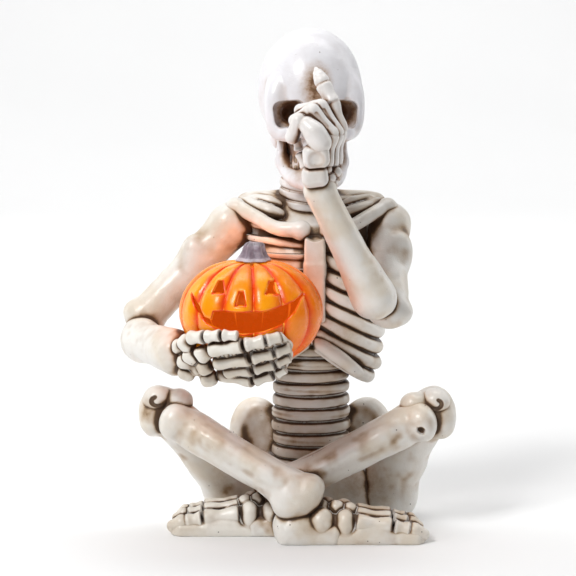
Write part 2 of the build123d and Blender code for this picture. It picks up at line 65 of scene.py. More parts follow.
# ---- Clay: distance fields on a grid --------------------------------------------------------------
class Clay:
    """A block of points that hold their distance to the surface: negative inside, positive outside."""

    def __init__(self, low, high, step=COARSE):
        self.step = step
        self.low = np.floor(np.array(low, float) / COARSE) * COARSE
        size = np.ceil((np.array(high, float) - self.low) / COARSE) * COARSE
        self.d = np.full(np.round(size / step).astype(int) + 1, FAR, np.float32)
        self.base = -math.inf  # height of its flat underside, where it has one

    def window(self, low, high, margin):
        first = np.floor((low - margin - self.low) / self.step).astype(int)
        last = np.ceil((high + margin - self.low) / self.step).astype(int) + 1
        first, last = np.clip(first, 0, self.d.shape), np.clip(last, 0, self.d.shape)
        lines = [
            (self.low[i] + np.arange(first[i], last[i]) * self.step).astype(np.float32) for i in range(3)
        ]
        spots = lines[0][:, None, None], lines[1][None, :, None], lines[2][None, None, :]
        return tuple(slice(a, b) for a, b in zip(first, last)), spots

    def add(self, *shapes, k=0.0):
        """Adds shapes; k is the width of the fillet where they meet what is there, in millimetres."""
        for low, high, field in shapes:
            part, spots = self.window(low, high, 4.0 + k)
            old, new = self.d[part], field(*spots)
            joined = np.minimum(old, new)
            if k:
                joined -= np.maximum(k - np.abs(old - new), 0) ** 2 / (4 * k)
            self.d[part] = joined
        return self

    def cut(self, *shapes, k=0.0):
        """Takes shapes away; k rounds the rim."""
        for low, high, field in shapes:
            part, spots = self.window(low, high, 1.0 + k)
            old, new = self.d[part], -field(*spots)
            left = np.maximum(old, new)
            if k:
                left += np.maximum(k - np.abs(old - new), 0) ** 2 / (4 * k)
            self.d[part] = left
        return self

    def flat_base(self, base=0.0):
        """Nothing stays below base. Pieces that share a sole differ a little, so no two faces coincide."""
        self.base = base
        z = self.low[2] + np.arange(self.d.shape[2]) * self.step
        self.d = np.maximum(self.d, base - z[None, None, :].astype(np.float32))
        return self

    def mesh(self):
        grid = openvdb.FloatGrid(FAR)
        grid.copyFromArray(np.clip(self.d, -FAR, FAR))
        points, quads = grid.convertToQuads(0.0)
        return points * self.step + self.low, quads

    def at(self, points):
        """The field at points, read between the grid's points."""
        spot = (points - self.low) / self.step
        cell = np.clip(np.floor(spot).astype(int), 0, np.array(self.d.shape) - 2)
        f = np.clip(spot - cell, 0, 1)
        total = np.zeros(len(points))
        for corner in np.ndindex(2, 2, 2):
            weight = np.prod(np.where(corner, f, 1 - f), axis=1)
            total += weight * self.d[tuple((cell + corner).T)]
        return total


# ---- Shapes: (lowest corner, highest corner, field) -------------------------------------------------
def turned(x=0, y=0, z=0):
    """Rotation matrix from angles in degrees, applied about x, then y, then z."""
    m = Matrix.Rotation(math.radians(z), 3, "Z") @ Matrix.Rotation(math.radians(y), 3, "Y")
    return np.array(m @ Matrix.Rotation(math.radians(x), 3, "X"))


def local(centre, turn):
    """A function that takes x, y, z to coordinates round centre in the turned frame."""

    def to(x, y, z):
        x, y, z = x - centre[0], y - centre[1], z - centre[2]
        if turn is None:
            return x, y, z
        return tuple(x * turn[0, i] + y * turn[1, i] + z * turn[2, i] for i in range(3))

    return to


def reach(centre, radii, turn):
    half = np.array(radii, float) if turn is None else np.abs(turn) @ np.array(radii, float)
    return np.array(centre) - half, np.array(centre) + half


def oval(x, y, z, radii, size=1.0):
    """Near enough the distance to an ellipsoid of size times its radii."""
    k0 = np.sqrt((x / radii[0]) ** 2 + (y / radii[1]) ** 2 + (z / radii[2]) ** 2)
    k1 = np.sqrt((x / radii[0] ** 2) ** 2 + (y / radii[1] ** 2) ** 2 + (z / radii[2] ** 2) ** 2)
    return k0 * (k0 - size) / (k1 + 1e-6)


def blob(centre, radii, turn=None):
    """An ellipsoid."""
    radii = vec(*radii) if np.iterable(radii) else vec(radii, radii, radii)
    to = local(centre, turn)

    return *reach(centre, radii, turn), lambda x, y, z: oval(*to(x, y, z), radii)


def slab(centre, half, rounding, turn=None):
    """A box with rounded edges; half is its half size with the rounding included."""
    half = vec(*half)
    to = local(centre, turn)

    def field(x, y, z):
        q = [np.abs(c) - (h - rounding) for c, h in zip(to(x, y, z), half)]
        outside = np.sqrt(sum(np.maximum(c, 0) ** 2 for c in q))
        return outside + np.minimum(np.maximum(np.maximum(q[0], q[1]), q[2]), 0) - rounding

    return *reach(centre, half, turn), field


def cone(a, b, ra, rb):
    """A rod with round ends whose radius goes from ra to rb."""
    a, b = vec(*a), vec(*b)
    axis = b - a
    span = axis @ axis + 1e-9

    def field(x, y, z):
        x, y, z = x - a[0], y - a[1], z - a[2]
        t = np.clip((x * axis[0] + y * axis[1] + z * axis[2]) / span, 0, 1)
        away = (x - axis[0] * t) ** 2 + (y - axis[1] * t) ** 2 + (z - axis[2] * t) ** 2
        return np.sqrt(away) - (ra + (rb - ra) * t)

    return np.minimum(a - ra, b - rb), np.maximum(a + ra, b + rb), field


def shaft(a, b, profile, flat=None):
    """A bone round the line from a to b. profile holds (share of the length, radius); the radius eases
    from one to the next. flat is (direction, factor): the section is factor times as thick that way."""
    a, b = vec(*a), vec(*b)
    length = np.linalg.norm(b - a)
    axis = (b - a) / length
    shares, radii = np.array(profile, float).T
    steps = np.linspace(0, 1, 65)
    spot = np.clip(np.searchsorted(shares, steps, side="right") - 1, 0, len(shares) - 2)
    ease = np.clip((steps - shares[spot]) / (shares[spot + 1] - shares[spot]), 0, 1)
    table = radii[spot] + (radii[spot + 1] - radii[spot]) * ease * ease * (3 - 2 * ease)
    way = None
    if flat:
        way = vec(*flat[0]) - axis * (vec(*flat[0]) @ axis)
        way /= np.linalg.norm(way)

    def field(x, y, z):
        x, y, z = x - a[0], y - a[1], z - a[2]
        s = x * axis[0] + y * axis[1] + z * axis[2]
        t = np.clip(s / length, 0, 1)
        r = np.interp(t, steps, table).astype(np.float32)
        s = t * length
        away = (x - axis[0] * s) ** 2 + (y - axis[1] * s) ** 2 + (z - axis[2] * s) ** 2
        if way is None:
            return np.sqrt(away) - r
        c = x * way[0] + y * way[1] + z * way[2]
        away = away + c * c * (1 / flat[1] ** 2 - 1)
        return (np.sqrt(away) - r) * min(1.0, flat[1])

    pad = radii.max() * (max(1.0, flat[1]) if flat else 1.0)
    return np.minimum(a, b) - pad, np.maximum(a, b) + pad, field


def disc(rx, ry, half, rounding):
    """An oval disc with a rounded rim, lying level."""

    def field(x, y, z):
        q = np.sqrt((x / rx) ** 2 + (y / ry) ** 2)
        side = (q - 1) * min(rx, ry) + rounding
        up = np.abs(z) - half + rounding
        outside = np.sqrt(np.maximum(side, 0) ** 2 + np.maximum(up, 0) ** 2)
        return outside + np.minimum(np.maximum(side, up), 0) - rounding

    return vec(-rx, -ry, -half), vec(rx, ry, half), field


def hoop(rx, ry, radius):
    """An oval ring of wire, lying level."""

    def field(x, y, z):
        side = (np.sqrt((x / rx) ** 2 + (y / ry) ** 2) - 1) * min(rx, ry)
        return np.sqrt(side * side + z * z) - radius

    return vec(-rx, -ry, -radius), vec(rx, ry, radius), field


def smooth_line(points, parts=6):
    """Points on a Catmull-Rom curve through the given ones."""
    p = np.array(points, float)
    p = np.vstack([2 * p[0] - p[1], p, 2 * p[-1] - p[-2]])
    line = []
    for before, a, b, after in zip(p, p[1:], p[2:], p[3:]):
        slope, bend, twist = b - before, 2 * before - 5 * a + 4 * b - after, 3 * a - before - 3 * b + after
        for t in np.linspace(0, 1, parts, endpoint=False):
            line.append(0.5 * (2 * a + slope * t + bend * t * t + twist * t ** 3))
    return np.array(line + [p[-2]])


def strand(points, radii, parts=6):
    """Rods along a smooth curve; radii are eased between the given ones."""
    line = smooth_line(points, parts)
    r = np.interp(np.linspace(0, 1, len(line)), np.linspace(0, 1, len(radii)), radii)
    return [cone(a, b, ra, rb) for a, b, ra, rb in zip(line, line[1:], r, r[1:])]


def mirrored(shape):
    low, high, field = shape
    return vec(-high[0], low[1], low[2]), vec(-low[0], high[1], high[2]), lambda x, y, z: field(-x, y, z)


def both_sides(*shapes):
    return list(shapes) + [mirrored(s) for s in shapes]


def placed(shape, centre, turn):
    """A shape from a turned frame, moved to the figure's."""
    low, high, field = shape
    corners = np.array([[(low, high)[c[i]][i] for i in range(3)] for c in np.ndindex(2, 2, 2)])
    corners = corners @ turn.T + centre
    to = local(centre, turn)
    return corners.min(0), corners.max(0), lambda x, y, z: field(*to(x, y, z))


# ---- Pieces ---------------------------------------------------------------------------------------
made = []  # every sculpted piece: (clay, paint, height of its casting lumps in millimetres)


def piece(clay, paint, lumps):
    made.append((clay, paint, lumps))


def block(node, margin=4.5, step=COARSE):
    """Clay round a CAD node's box, in the figure's frame."""
    low, high = [np.array(corner) * 1000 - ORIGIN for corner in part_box(node)]
    clay = Clay(low - margin, high + margin, step)
    clay.node = node
    return clay


# Head. Its frame has its origin in the middle of the cranium and is turned to the figure's left.
HEAD = vec(-0.4, -1.0, 133.5)
HEAD_TURN = turned(z=6)
NECK_RINGS = 6
TEETH, TOOTH_ARCH = 10, 64  # teeth in a row, and how far round the arch they go to each side, in degrees


def in_head(*shapes):
    return [placed(s, HEAD, HEAD_TURN) for s in shapes]


def both_in_head(*shapes):
    return in_head(*both_sides(*shapes))


def sculpt_head():
    skull = block("skull", step=FINE)
    skull.add(*in_head(blob((0, 1.0, 1.6), (15.5, 17.6, 17.3))))
    skull.add(*in_head(blob((0, 2.2, -2.0), (14.9, 15.6, 15.0))), k=3)
    skull.add(*in_head(blob((0, -3.5, -3.0), (12.2, 13.2, 11.0))), k=5)
    skull.add(*in_head(slab((0, -9.0, -12.5), (7.6, 8.0, 6.6), 4.5)), k=3)  # upper jaw
    skull.add(*in_head(slab((0, -7.4, -19.6), (7.0, 8.2, 5.6), 3.0)), k=1)  # the mouth's dark inside
    skull.add(*in_head(slab((0, 4.5, -13.5), (9.0, 8.5, 3.4), 3.2)), k=4)  # base round the neck
    skull.cut(*both_in_head(blob((18.0, -9.6, -5.4), (3.2, 6.0, 6.4))), k=6)  # temples
    cheek = strand(
        [(5.0, -16.2, -11.2), (8.2, -15.4, -11.4), (10.2, -12.2, -11.4), (10.6, -7.5, -11.0),
         (10.9, -2.2, -10.2)],
        [2.0, 2.1, 1.7, 1.4, 1.6],
    )
    skull.add(*both_in_head(*cheek), k=1.6)
    rim = [(10.9, -11.6, -10.4), (11.6, -11.0, -6.4), (11.5, -10.4, -1.0), (10.4, -8.4, 3.4)]
    skull.add(*both_in_head(*strand(rim, [1.0, 0.9, 1.1, 1.0])), k=4)
    skull.add(*both_in_head(blob((9.6, -7.6, -3.4), (2.4, 4.6, 7.2))), k=3)
    skull.cut(*both_in_head(slab((8.1, -17.0, -6.0), (4.4, 7.0, 3.8), 2.1, turned(y=7))), k=0.6)
    skull.cut(*both_in_head(blob((6.8, -11.4, -6.2), (3.0, 5.4, 3.0))), k=1)
    nose = blob((0, -18.4, -12.6), (2.5, 4.6, 3.0)), blob((0, -18.6, -9.8), (1.5, 3.4, 2.2))
    skull.cut(*in_head(*nose), k=0.6)
    skull.add(*in_head(cone((0, -15.6, -3.0), (0, -18.6, -8.2), 1.7, 1.1)), k=1.6)
    skull.cut(*both_in_head(blob((9.8, -8.6, -15.6), (2.4, 4.4, 3.4))), k=1.0)  # hollow of the cheek
    skull.add(*both_in_head(blob((9.6, 2.6, -14.4), (2.2, 3.4, 3.4))), k=2.5)
    piece(skull, "skull", 0.07)

    jaw = block("mandible", step=FINE)
    body = strand(
        [(0, -18.4, -25.8), (-3.4, -17.7, -25.8), (-6.0, -14.0, -25.2), (-7.7, -8.4, -23.6),
         (-8.6, -4.0, -20.9)],
        [2.4, 2.4, 2.3, 2.1, 2.1],
    )
    jaw.add(*both_in_head(*body), k=1.0)
    jaw.add(*both_in_head(slab((9.1, -3.8, -17.0), (1.4, 3.2, 5.6), 1.3, turned(x=-8, y=-3))), k=2)
    jaw.add(*both_in_head(cone((9.3, -1.6, -13.0), (9.8, -0.6, -11.0), 1.5, 1.5)), k=1.5)
    jaw.add(*in_head(slab((0, -17.0, -23.4), (4.5, 2.3, 3.0), 2.0)), k=2)  # chin
    jaw.add(*both_in_head(blob((2.4, -18.6, -26.2), (2.0, 1.7, 1.5))), k=2)
    piece(jaw, "skull", 0.07)

    for node, top, bottom in (("upper_teeth", -18.2, -21.1), ("lower_teeth", -20.9, -23.0)):
        teeth = block(node, 3, FINE)
        for angle in np.linspace(-TOOTH_ARCH, TOOTH_ARCH, TEETH):
            a = math.radians(angle)
            at = (7.2 * math.sin(a), -8.0 - 9.4 * math.cos(a), (top + bottom) / 2)
            teeth.add(*in_head(slab(at, (0.95, 0.95, (top - bottom) / 2), 0.7, turned(z=angle))))
        piece(teeth, "teeth", 0.04)

    neck = block("cervical_vertebrae", 3.5, FINE)
    for i in range(NECK_RINGS):
        centre, tilt = vec(-0.9, 6.0 - 0.7 * i, 98.4 + 3.1 * i), turned(x=4, y=6)
        r = 9.3 - 0.24 * i
        neck.add(placed(disc(r, r, 1.44, 0.95), centre, tilt))
        neck.add(placed(disc(r - 0.75, r - 0.75, 2.2, 0.3), centre, tilt), k=0.25)
        neck.add(blob(centre + vec(0, r + 0.4, -0.6), (1.5, 2.0, 1.1)), k=1.2)
    piece(neck, "neck", 0.08)


# Trunk. Height, half width, front and back of the rib cage.
CHEST = [
    (40, 14.0, -6.5, 11.5),
    (48, 19.5, -10.5, 15.5),
    (60, 20.8, -13.0, 18.0),
    (73, 20.6, -13.5, 18.5),
    (84, 19.8, -12.0, 17.0),
    (93, 18.8, -8.0, 15.0),
    (98, 17.5, -1.0, 14.0),
    (101.5, 13.0, 4.5, 13.0),
]
RIBS, RIB_TOP, RIB_PITCH, RIB_SLOPE, SLOPE_STEP = 8, 89.5, 4.55, 24.0, 1.5
LUMBAR_RINGS, LUMBAR_PITCH = 11, 4.0
# The side above the pumpkin is sculpted flatter and closer at the top: each rib's height and slope there.
RIGHT_RIBS = [
    (90.9, -9), (87.4, -6), (84.4, -3), (81.4, 0), (77.6, 8), (72.0, 18), (66.0, 27), (59.0, 33),
]

# The painted bands from the neck to the left shoulder: points, radii and fillet. The right side mirrors them.
SHOULDER_BANDS = [
    ([(9.6, -3.4, 96.0), (13, -3.2, 97.0), (17, -0.8, 98.2), (20.5, 3.0, 99.2)], [1.6, 1.8, 1.6, 1.4], 0.7),
    ([(9.8, -0.6, 98.8), (13, -0.2, 99.8), (17.5, 2.8, 100.4)], [1.3, 1.5, 1.2], 0.5),
    ([(10.2, 3.4, 100.3), (13.5, 4.2, 100.9), (18, 7.4, 100.8)], [1.0, 1.2, 1.0], 0.5),
]


def chest_section(z):
    heights, half, front, back = np.array(CHEST).T
    return np.interp(z, heights, half), np.interp(z, heights, front), np.interp(z, heights, back)


def trunk(inset, low, high):
    """The chest casting's body, inset from its skin, between two heights."""

    def field(x, y, z):
        half, front, back = (v.astype(np.float32) for v in chest_section(z))
        u = x / (half - inset)
        v = (y - (front + back) / 2) / ((back - front) / 2 - inset)
        q = np.sqrt(u * u + v * v)
        d = (q - 1) * np.minimum(half - inset, (back - front) / 2 - inset)
        return np.maximum(d, np.maximum(z - high, low - z))

    return vec(-21, -14, low), vec(21, 19, high), field


def chest_point(angle, z):
    half, front, back = chest_section(z)
    a = math.radians(angle)
    return vec(half * math.cos(a), (front + back) / 2 + (back - front) / 2 * math.sin(a), z)


def rib_line(top, slope):
    """Points along a left rib, from the breastbone round the side to the spine."""
    fall = math.tan(math.radians(slope))
    line = []
    for angle in np.linspace(-84, 86, 9):
        z = top
        for _ in range(6):
            point = chest_point(angle, z)
            z = top - fall * point[0]
        line.append(point)
    return line


def sculpt_trunk():
    body = block("chest_casting")
    body.add(trunk(0.6, 46, 99.5))
    body.add(slab((-0.3, 7.0, 96.4), (21.4, 7.8, 4.7), 3.8), k=2)
    wedge_slope = math.tan(math.radians(RIB_SLOPE + SLOPE_STEP * (RIBS - 1)))
    last = RIB_TOP - (RIBS - 1) * RIB_PITCH

    def wedge(x, y, z):
        return (z - (last - wedge_slope * np.abs(x))) * math.cos(math.atan(wedge_slope))

    body.cut((vec(-40, -40, 0), vec(40, 40, last), wedge), k=2)
    for side in (RIGHT, LEFT):
        # Top of the shoulders: the first rib's arc and the muscle-like bands behind the collar bones.
        across = vec(side, 1, 1)
        for start, end, r in (((6, 8.5, 99.5), (20.5, 8.5, 98.6), 3.0), ((7, 12, 97), (19, 11, 97), 3.4)):
            body.add(shaft(vec(*start) * across, vec(*end) * across, [(0, r), (1, r - 0.6)]), k=3)
        for arc, radii, k in SHOULDER_BANDS:
            body.add(*strand([vec(*point) * across for point in arc], radii), k=k)
    for z in np.arange(50, 96, 4.2):  # knobs of the spine down the back
        back = chest_section(z)[2]
        body.add(blob((0, back - 0.4, z), (1.7, 2.2, 1.5)), k=1.2)
        body.add(*both_sides(blob((2.8, back - 1.2, z + 0.5), (2.2, 1.4, 1.3))), k=1.0)
    piece(body, "bone", 0.12)

    for number in range(1, RIBS + 1):
        rib = block(f"rib_pair_{number}", 4.5, FINE)
        thick = 2.15 if number > 1 else 2.4
        radii = [1.6, *[thick] * 7, 1.5]
        top = RIB_TOP - (number - 1) * RIB_PITCH
        rib.add(*strand(rib_line(top, RIB_SLOPE + SLOPE_STEP * (number - 1)), radii, 4))
        thick = 1.7 if 1 < number < 6 else 2.2
        radii = [1.5, *[thick] * 7, 1.5]
        rib.add(*map(mirrored, strand(rib_line(*RIGHT_RIBS[number - 1]), radii, 4)))
        if number == RIBS:  # the lower edge of the rib cage
            margin = [(1.6, -13.6, 58.4), (5.6, -13.6, 55.6), (10.2, -13.0, 52.0), (14.6, -10.6, 48.2)]
            rib.add(*both_sides(*strand(margin, [1.5, 1.7, 1.7, 1.5])), k=1.0)
        piece(rib, "bone", 0.12)

    plate = block("sternum", 4, FINE)
    front = chest_section(73)[1] - 0.2
    plate.add(slab((0.9, front + 1.0, 84.5), (3.2, 2.8, 6.0), 1.0))
    plate.add(slab((0.9, front + 0.4, 73.5), (3.1, 2.6, 9.0), 0.9), k=1.5)
    plate.add(cone((0.9, front + 0.4, 66.5), (0.9, front + 0.8, 61.5), 2.0, 1.1), k=1.5)
    plate.cut(blob((0.9, front - 1.4, 91.2), (2.4, 3.0, 1.8)), k=0.8)
    piece(plate, "bone", 0.10)

    for side, name in ((RIGHT, "right"), (LEFT, "left")):
        collar = block(f"{name}_collar_bone", 4.5, FINE)
        inner = vec(side * 3.7 + 0.9, -13.0, 92.4)
        middle = vec(side * 10.5, -10.6, 92.6)
        outer = vec(side * 17.5, -4.2, 95.6)
        end = vec(side * 23.4, 1.6, 98.0)
        collar.add(*strand([inner, middle, outer, end], [2.6, 2.1, 2.1, 2.5], 8))
        collar.add(blob(inner + vec(side * 0.6, 0, -0.4), (2.4, 2.3, 2.9)), k=1.2)
        collar.add(blob(end, (2.9, 2.7, 1.9), turned(y=side * 20)), k=1.5)
        piece(collar, "bone", 0.08)

        blade = block(f"{name}_shoulder_blade", 5)
        tilt = turned(z=side * -30) @ turned(x=-8)
        plate_centre = vec(side * 14.2, 14.2, 85.0)
        blade.add(slab(plate_centre + vec(side * 0.6, 0, 4.0), (7.0, 1.5, 4.4), 1.4, tilt))
        for (x, y, z), half, lean in (
            ((-2.4, 1.0, -4.0), (2.8, 1.4, 8.6), 10),
            ((1.4, 0.2, -3.4), (2.4, 1.3, 8.4), 38),
        ):
            at = plate_centre + vec(side * x, y, z)
            blade.add(slab(at, half, half[1], tilt @ turned(y=side * lean)), k=3)
        blade.add(cone((side * 7.5, 17.2, 90.0), (side * 17.0, 13.4, 94.0), 1.3, 1.7), k=1.2)
        blade.add(cone((side * 17.0, 13.4, 94.0), (side * 23.4, 7.0, 97.0), 1.7, 2.9), k=1.2)
        blade.cut(blob((side * 13.5, 17.0, 94.6), (5.0, 2.4, 2.0), tilt), k=1.2)
        piece(blade, "bone", 0.12)

    spine = block("lumbar_vertebrae", 4, FINE)
    rng = np.random.RandomState(5)
    for i in range(LUMBAR_RINGS):
        z = 17.4 + LUMBAR_PITCH * i
        wobble = rng.uniform(-1, 1, 4)
        tilt = turned(x=1.5 * wobble[0], y=1.4 * wobble[1])
        rx, ry = 12.1 + 0.25 * wobble[2], 10.1 + 0.2 * wobble[3]
        spine.add(placed(disc(rx, ry, 1.72, 1.25), vec(0, 6, z), tilt))
        spine.add(placed(disc(rx - 1.5, ry - 1.5, 2.3, 0.3), vec(0, 6, z), tilt), k=0.4)
        spine.add(blob((0, 16.4, z - 0.8), (1.9, 2.6, 1.5)), k=1.4)
        for side in (RIGHT, LEFT):
            spine.add(blob((side * 6.0, 14.6, z), (2.6, 1.8, 1.3)), k=1.2)
    for i in range(5):  # shallow lines that split some rings
        spine.cut(placed(hoop(12.4, 10.4, 0.3), vec(0, 6, 25.2 + 2 * LUMBAR_PITCH * i), turned(y=2)), k=0.4)
    piece(spine, "bone", 0.14)

    seat = block("pelvis", 6)
    seat.add(slab((0, 12.0, 6.5), (21, 13.5, 10.5), 7.5))
    seat.add(slab((0, 11.5, 14.0), (15, 10.5, 5), 4), k=4)
    for side in (RIGHT, LEFT):
        wing = turned(z=side * 20, y=side * 9)
        seat.add(blob((side * 16.6, 14.5, 23.6), (9.4, 5.4, 12.6), wing), k=3)
        seat.cut(blob((side * 14.6, 8.0, 26.0), (6.4, 3.4, 7.6), wing), k=3)
        seat.cut(blob((side * 17.0, 21.0, 24.0), (6.0, 3.0, 7.6), wing), k=3)
        seat.add(blob((side * 12.0, 20.0, 9.0), (5.5, 5.5, 9.0)), k=3)
    seat.add(blob((0, 21.5, 19.0), (4.2, 3.2, 8.5)), k=3)  # sacrum
    for i in range(4):
        seat.add(blob((0, 24.4 - 0.3 * i, 24.5 - 3.6 * i), (1.3, 1.2, 1.2)), k=1)
    seat.flat_base()
    seat.cut(slab((0, 12.0, 6.2), (17.0, 9.0, 9.2), 0.05))
    piece(seat, "bone", 0.14)


# Arms
SHOULDER_R, ELBOW_R, WRIST_R = vec(-24.3, 4.0, 92.0), vec(-51.5, -2.0, 64.0), vec(-41.0, -32.5, 58.0)
SHOULDER_L, ELBOW_L, WRIST_L = vec(23.3, 4.0, 92.0), vec(23.4, -19.0, 68.5), vec(2.1, -35.5, 106.4)
FOREARM_START_R, FOREARM_START_L = vec(-52.3, -8.0, 58.0), vec(18.2, -27.0, 74.0)


def sculpt_arms():
    for name, a, b, ra, rs, rb, side in (
        ("right_humerus", SHOULDER_R, ELBOW_R, 6.9, 5.6, 5.6, RIGHT),
        ("left_humerus", SHOULDER_L, ELBOW_L, 6.9, 5.6, 5.4, LEFT),
    ):
        arm = block(name, 5)
        arm.add(shaft(a, b, [(0, ra), (0.24, ra * 0.93), (0.55, rs), (0.82, rs * 1.02), (1, rb)]))
        across = np.cross(b - a, vec(0, -1, 0.3))
        across /= np.linalg.norm(across)
        for sign in (1, -1):
            arm.add(blob(b + across * sign * 3.0, (3.8, 3.8, 3.6)), k=2)
        arm.cut(cone(b - across * 0.4 + vec(0, -6.6, 2), b - across * 0.4 + vec(0, -6.6, 6), 0.9, 0.5), k=1.6)
        ridge = a + (b - a) * 0.30 + vec(side * 4.4, -3.0, 0)
        arm.add(blob(ridge, (2.6, 2.8, 5.0)), k=4)
        arm.add(blob(a + vec(side * 1.4, -2.0, 0.6), (5.0, 5.0, 5.0)), k=3)
        piece(arm, "bone", 0.14)

    arm = block("right_forearm", 6)
    a, b = FOREARM_START_R, WRIST_R
    arm.add(shaft(a, b, [(0, 6.1), (0.35, 5.2), (0.7, 5.4), (1, 5.4)], ((0, 0.2, 1), 1.08)))
    arm.add(shaft(a + vec(0.5, 1, 2.4), b + vec(1.2, 0.6, 3.2), [(0, 4.0), (0.4, 3.2), (1, 3.7)]), k=1.6)
    arm.add(shaft(a + vec(0.8, -1, -2.0), b + vec(0.6, 1.2, -3.4), [(0, 4.2), (0.4, 3.2), (1, 3.5)]), k=1.6)
    arm.add(blob(a + vec(-0.6, 4.2, 1.0), (4.6, 4.4, 5.0)), k=2.5)
    piece(arm, "bone", 0.14)

    arm = block("left_forearm", 6)
    a, b = FOREARM_START_L, WRIST_L
    along = (b - a) / np.linalg.norm(b - a)
    across = np.cross(along, vec(0, 1, 0))
    across /= np.linalg.norm(across)
    arm.add(shaft(a, b, [(0, 6.8), (0.16, 6.2), (0.45, 4.9), (0.8, 4.6), (1, 4.6)]))
    second = [(0, 4.4), (0.3, 3.6), (0.8, 3.0), (1, 3.3)]
    arm.add(shaft(a + across * 2.2 + vec(0, 1.5, 0), b + across * 1.6 + vec(0, 1, 0.6), second), k=1.0)
    arm.add(blob(a + vec(1.6, 3.4, -1.4), (4.8, 4.6, 4.6)), k=2.5)
    arm.add(blob(b - across * 2.0 + vec(0, -0.6, 0.2), (2.8, 2.9, 2.8)), k=1.5)
    piece(arm, "bone", 0.14)


# Hands
PUMPKIN, PUMPKIN_AT = vec(21.3, 20.0, 16.3), vec(-18.0, -33.0, 70.5)
# Joints of the hand that holds the pumpkin: degrees round its skin and up it. The little finger and the
# wrist bones, and the raised hand below them, are in millimetres.
HOLDING = {
    "thumb": [(-53, -18), (-35, -15), (-21, -12), (-8, -12)],
    "index": [(-35, -28), (-5, -21), (11, -17), (24, -13)],
    "middle": [(-40, -46), (0, -36), (19, -30), (34, -24)],
    "ring": [(-44, -63), (3, -53), (25, -45), (39, -36)],
}
HOLDING_LITTLE = [(-27.6, -37.0, 52.8), (-17.1, -43.5, 51.9), (-11.2, -45.4, 54.0), (-7.4, -45.9, 56.2)]
HOLDING_CARPALS = [
    (-38.6, -38.4, 61.0),
    (-37.0, -39.2, 57.0),
    (-36.8, -36.8, 53.2),
    (-35.2, -42.2, 58.8),
    (-36.6, -42.4, 62.6),
    (-31.6, -45.5, 60.1),
    (-31.4, -42.6, 55.8),
    (-30.4, -38.4, 51.6),
]
HUSHING = {
    "little": [(1.0, -40.9, 119.4), (-2.2, -40.4, 126.6), (-5.6, -38.0, 123.8)],
    "ring": [(3.8, -37.0, 113.6), (5.4, -37.2, 123.4), (-0.2, -38.2, 130.0), (-5.2, -36.2, 127.0)],
    "middle": [(5.4, -34.0, 113.4), (7.0, -34.4, 123.6), (2.2, -35.2, 131.0), (-3.6, -33.6, 129.8)],
    "index": [
        (6.8, -30.8, 113.4), (8.0, -31.2, 124.6), (5.8, -31.2, 131.4), (3.0, -29.4, 137.2),
        (1.2, -27.4, 141.0),
    ],
    "thumb": [(-1.6, -33.6, 113.0), (-3.8, -33.4, 117.8), (-4.8, -34.0, 121.8)],
}


def skin_point(longitude, latitude):
    """The middle of a finger that lies on the pumpkin's skin, from degrees round it and up it."""
    lon, lat = math.radians(longitude), math.radians(latitude)
    way = vec(math.sin(lon) * math.cos(lat), -math.cos(lon) * math.cos(lat), math.sin(lat))
    return PUMPKIN_AT + (PUMPKIN + 2.1) * way


def finger_bone(a, b, ra, rb, waist=0.84, gap=0.22):
    """A small bone with two knobs, cut square a little short of both joints so that a groove stays there."""
    a, b = vec(*a), vec(*b)
    length = np.linalg.norm(b - a)
    along = (b - a) / length
    thin = min(ra, rb) * waist
    profile = [(0, ra), (0.25, ra), (0.5, thin), (0.75, rb), (1, rb)]
    low, high, body = shaft(a - along * ra, b + along * rb, profile)

    def field(x, y, z):
        s = (x - a[0]) * along[0] + (y - a[1]) * along[1] + (z - a[2]) * along[2]
        ends = np.abs(s - length / 2) - length / 2 + gap
        d = body(x, y, z)
        return np.maximum(d, ends) + np.maximum(0.9 - np.abs(d - ends), 0) ** 2 / 3.6

    return low, high, field


def sculpt_holding_hand():
    joints = {name: [skin_point(*p) for p in line] for name, line in HOLDING.items()}
    joints["little"] = [vec(*p) for p in HOLDING_LITTLE]
    carpals = block("right_carpals", 4, FINE)
    for i, at in enumerate(HOLDING_CARPALS):
        carpals.add(slab(at, (2.6, 2.5, 2.2 + 0.12 * (i % 3)), 1.9, turned(x=17 * i, y=11 * i)))
    carpals.add(blob((-33.6, -38.0, 56.6), (3.0, 3.6, 4.4)), k=0.8)
    piece(carpals, "darker_crevices", 0.16)

    palm = block("right_metacarpals", 4, FINE)
    order = ("index", "middle", "ring", "little")
    for one, two in zip(order, order[1:]):  # the web between neighbouring bones
        for share in (0.15, 0.4, 0.65, 0.9):
            ends = [joints[n][0] + (joints[n][1] - joints[n][0]) * share for n in (one, two)]
            inward = (PUMPKIN_AT - ends[0]) * 0.045
            palm.add(cone(ends[0] + inward, ends[1] + inward, 1.3, 1.3), k=1.5)
    for name in order:
        palm.add(finger_bone(joints[name][0], joints[name][1], 2.3, 2.35))
    piece(palm, "darker_crevices", 0.12)

    thumb = block("right_thumb", 4, FINE)
    for i, (a, b) in enumerate(zip(joints["thumb"], joints["thumb"][1:])):
        thumb.add(finger_bone(a, b, 2.2 - 0.15 * i, 2.1 - 0.25 * i))
    piece(thumb, "darker_crevices", 0.10)

    fingers = block("right_fingers", 4, FINE)
    for one, two in zip(order, order[1:]):
        for i in (1, 2):
            for share in (0.1, 0.5, 0.9):
                ends = [joints[n][i] + (joints[n][i + 1] - joints[n][i]) * share for n in (one, two)]
                inward = (PUMPKIN_AT - ends[0]) * 0.05
                fingers.add(cone(ends[0] + inward, ends[1] + inward, 1.1, 1.1), k=1.2)
    for name in order:
        a, b, c = joints[name][1:]
        fingers.add(finger_bone(a, b, 2.2, 2.0))
        fingers.add(finger_bone(b, c - (c - b) * 0.06, 2.0, 1.8, 0.9))
    piece(fingers, "darker_crevices", 0.10)


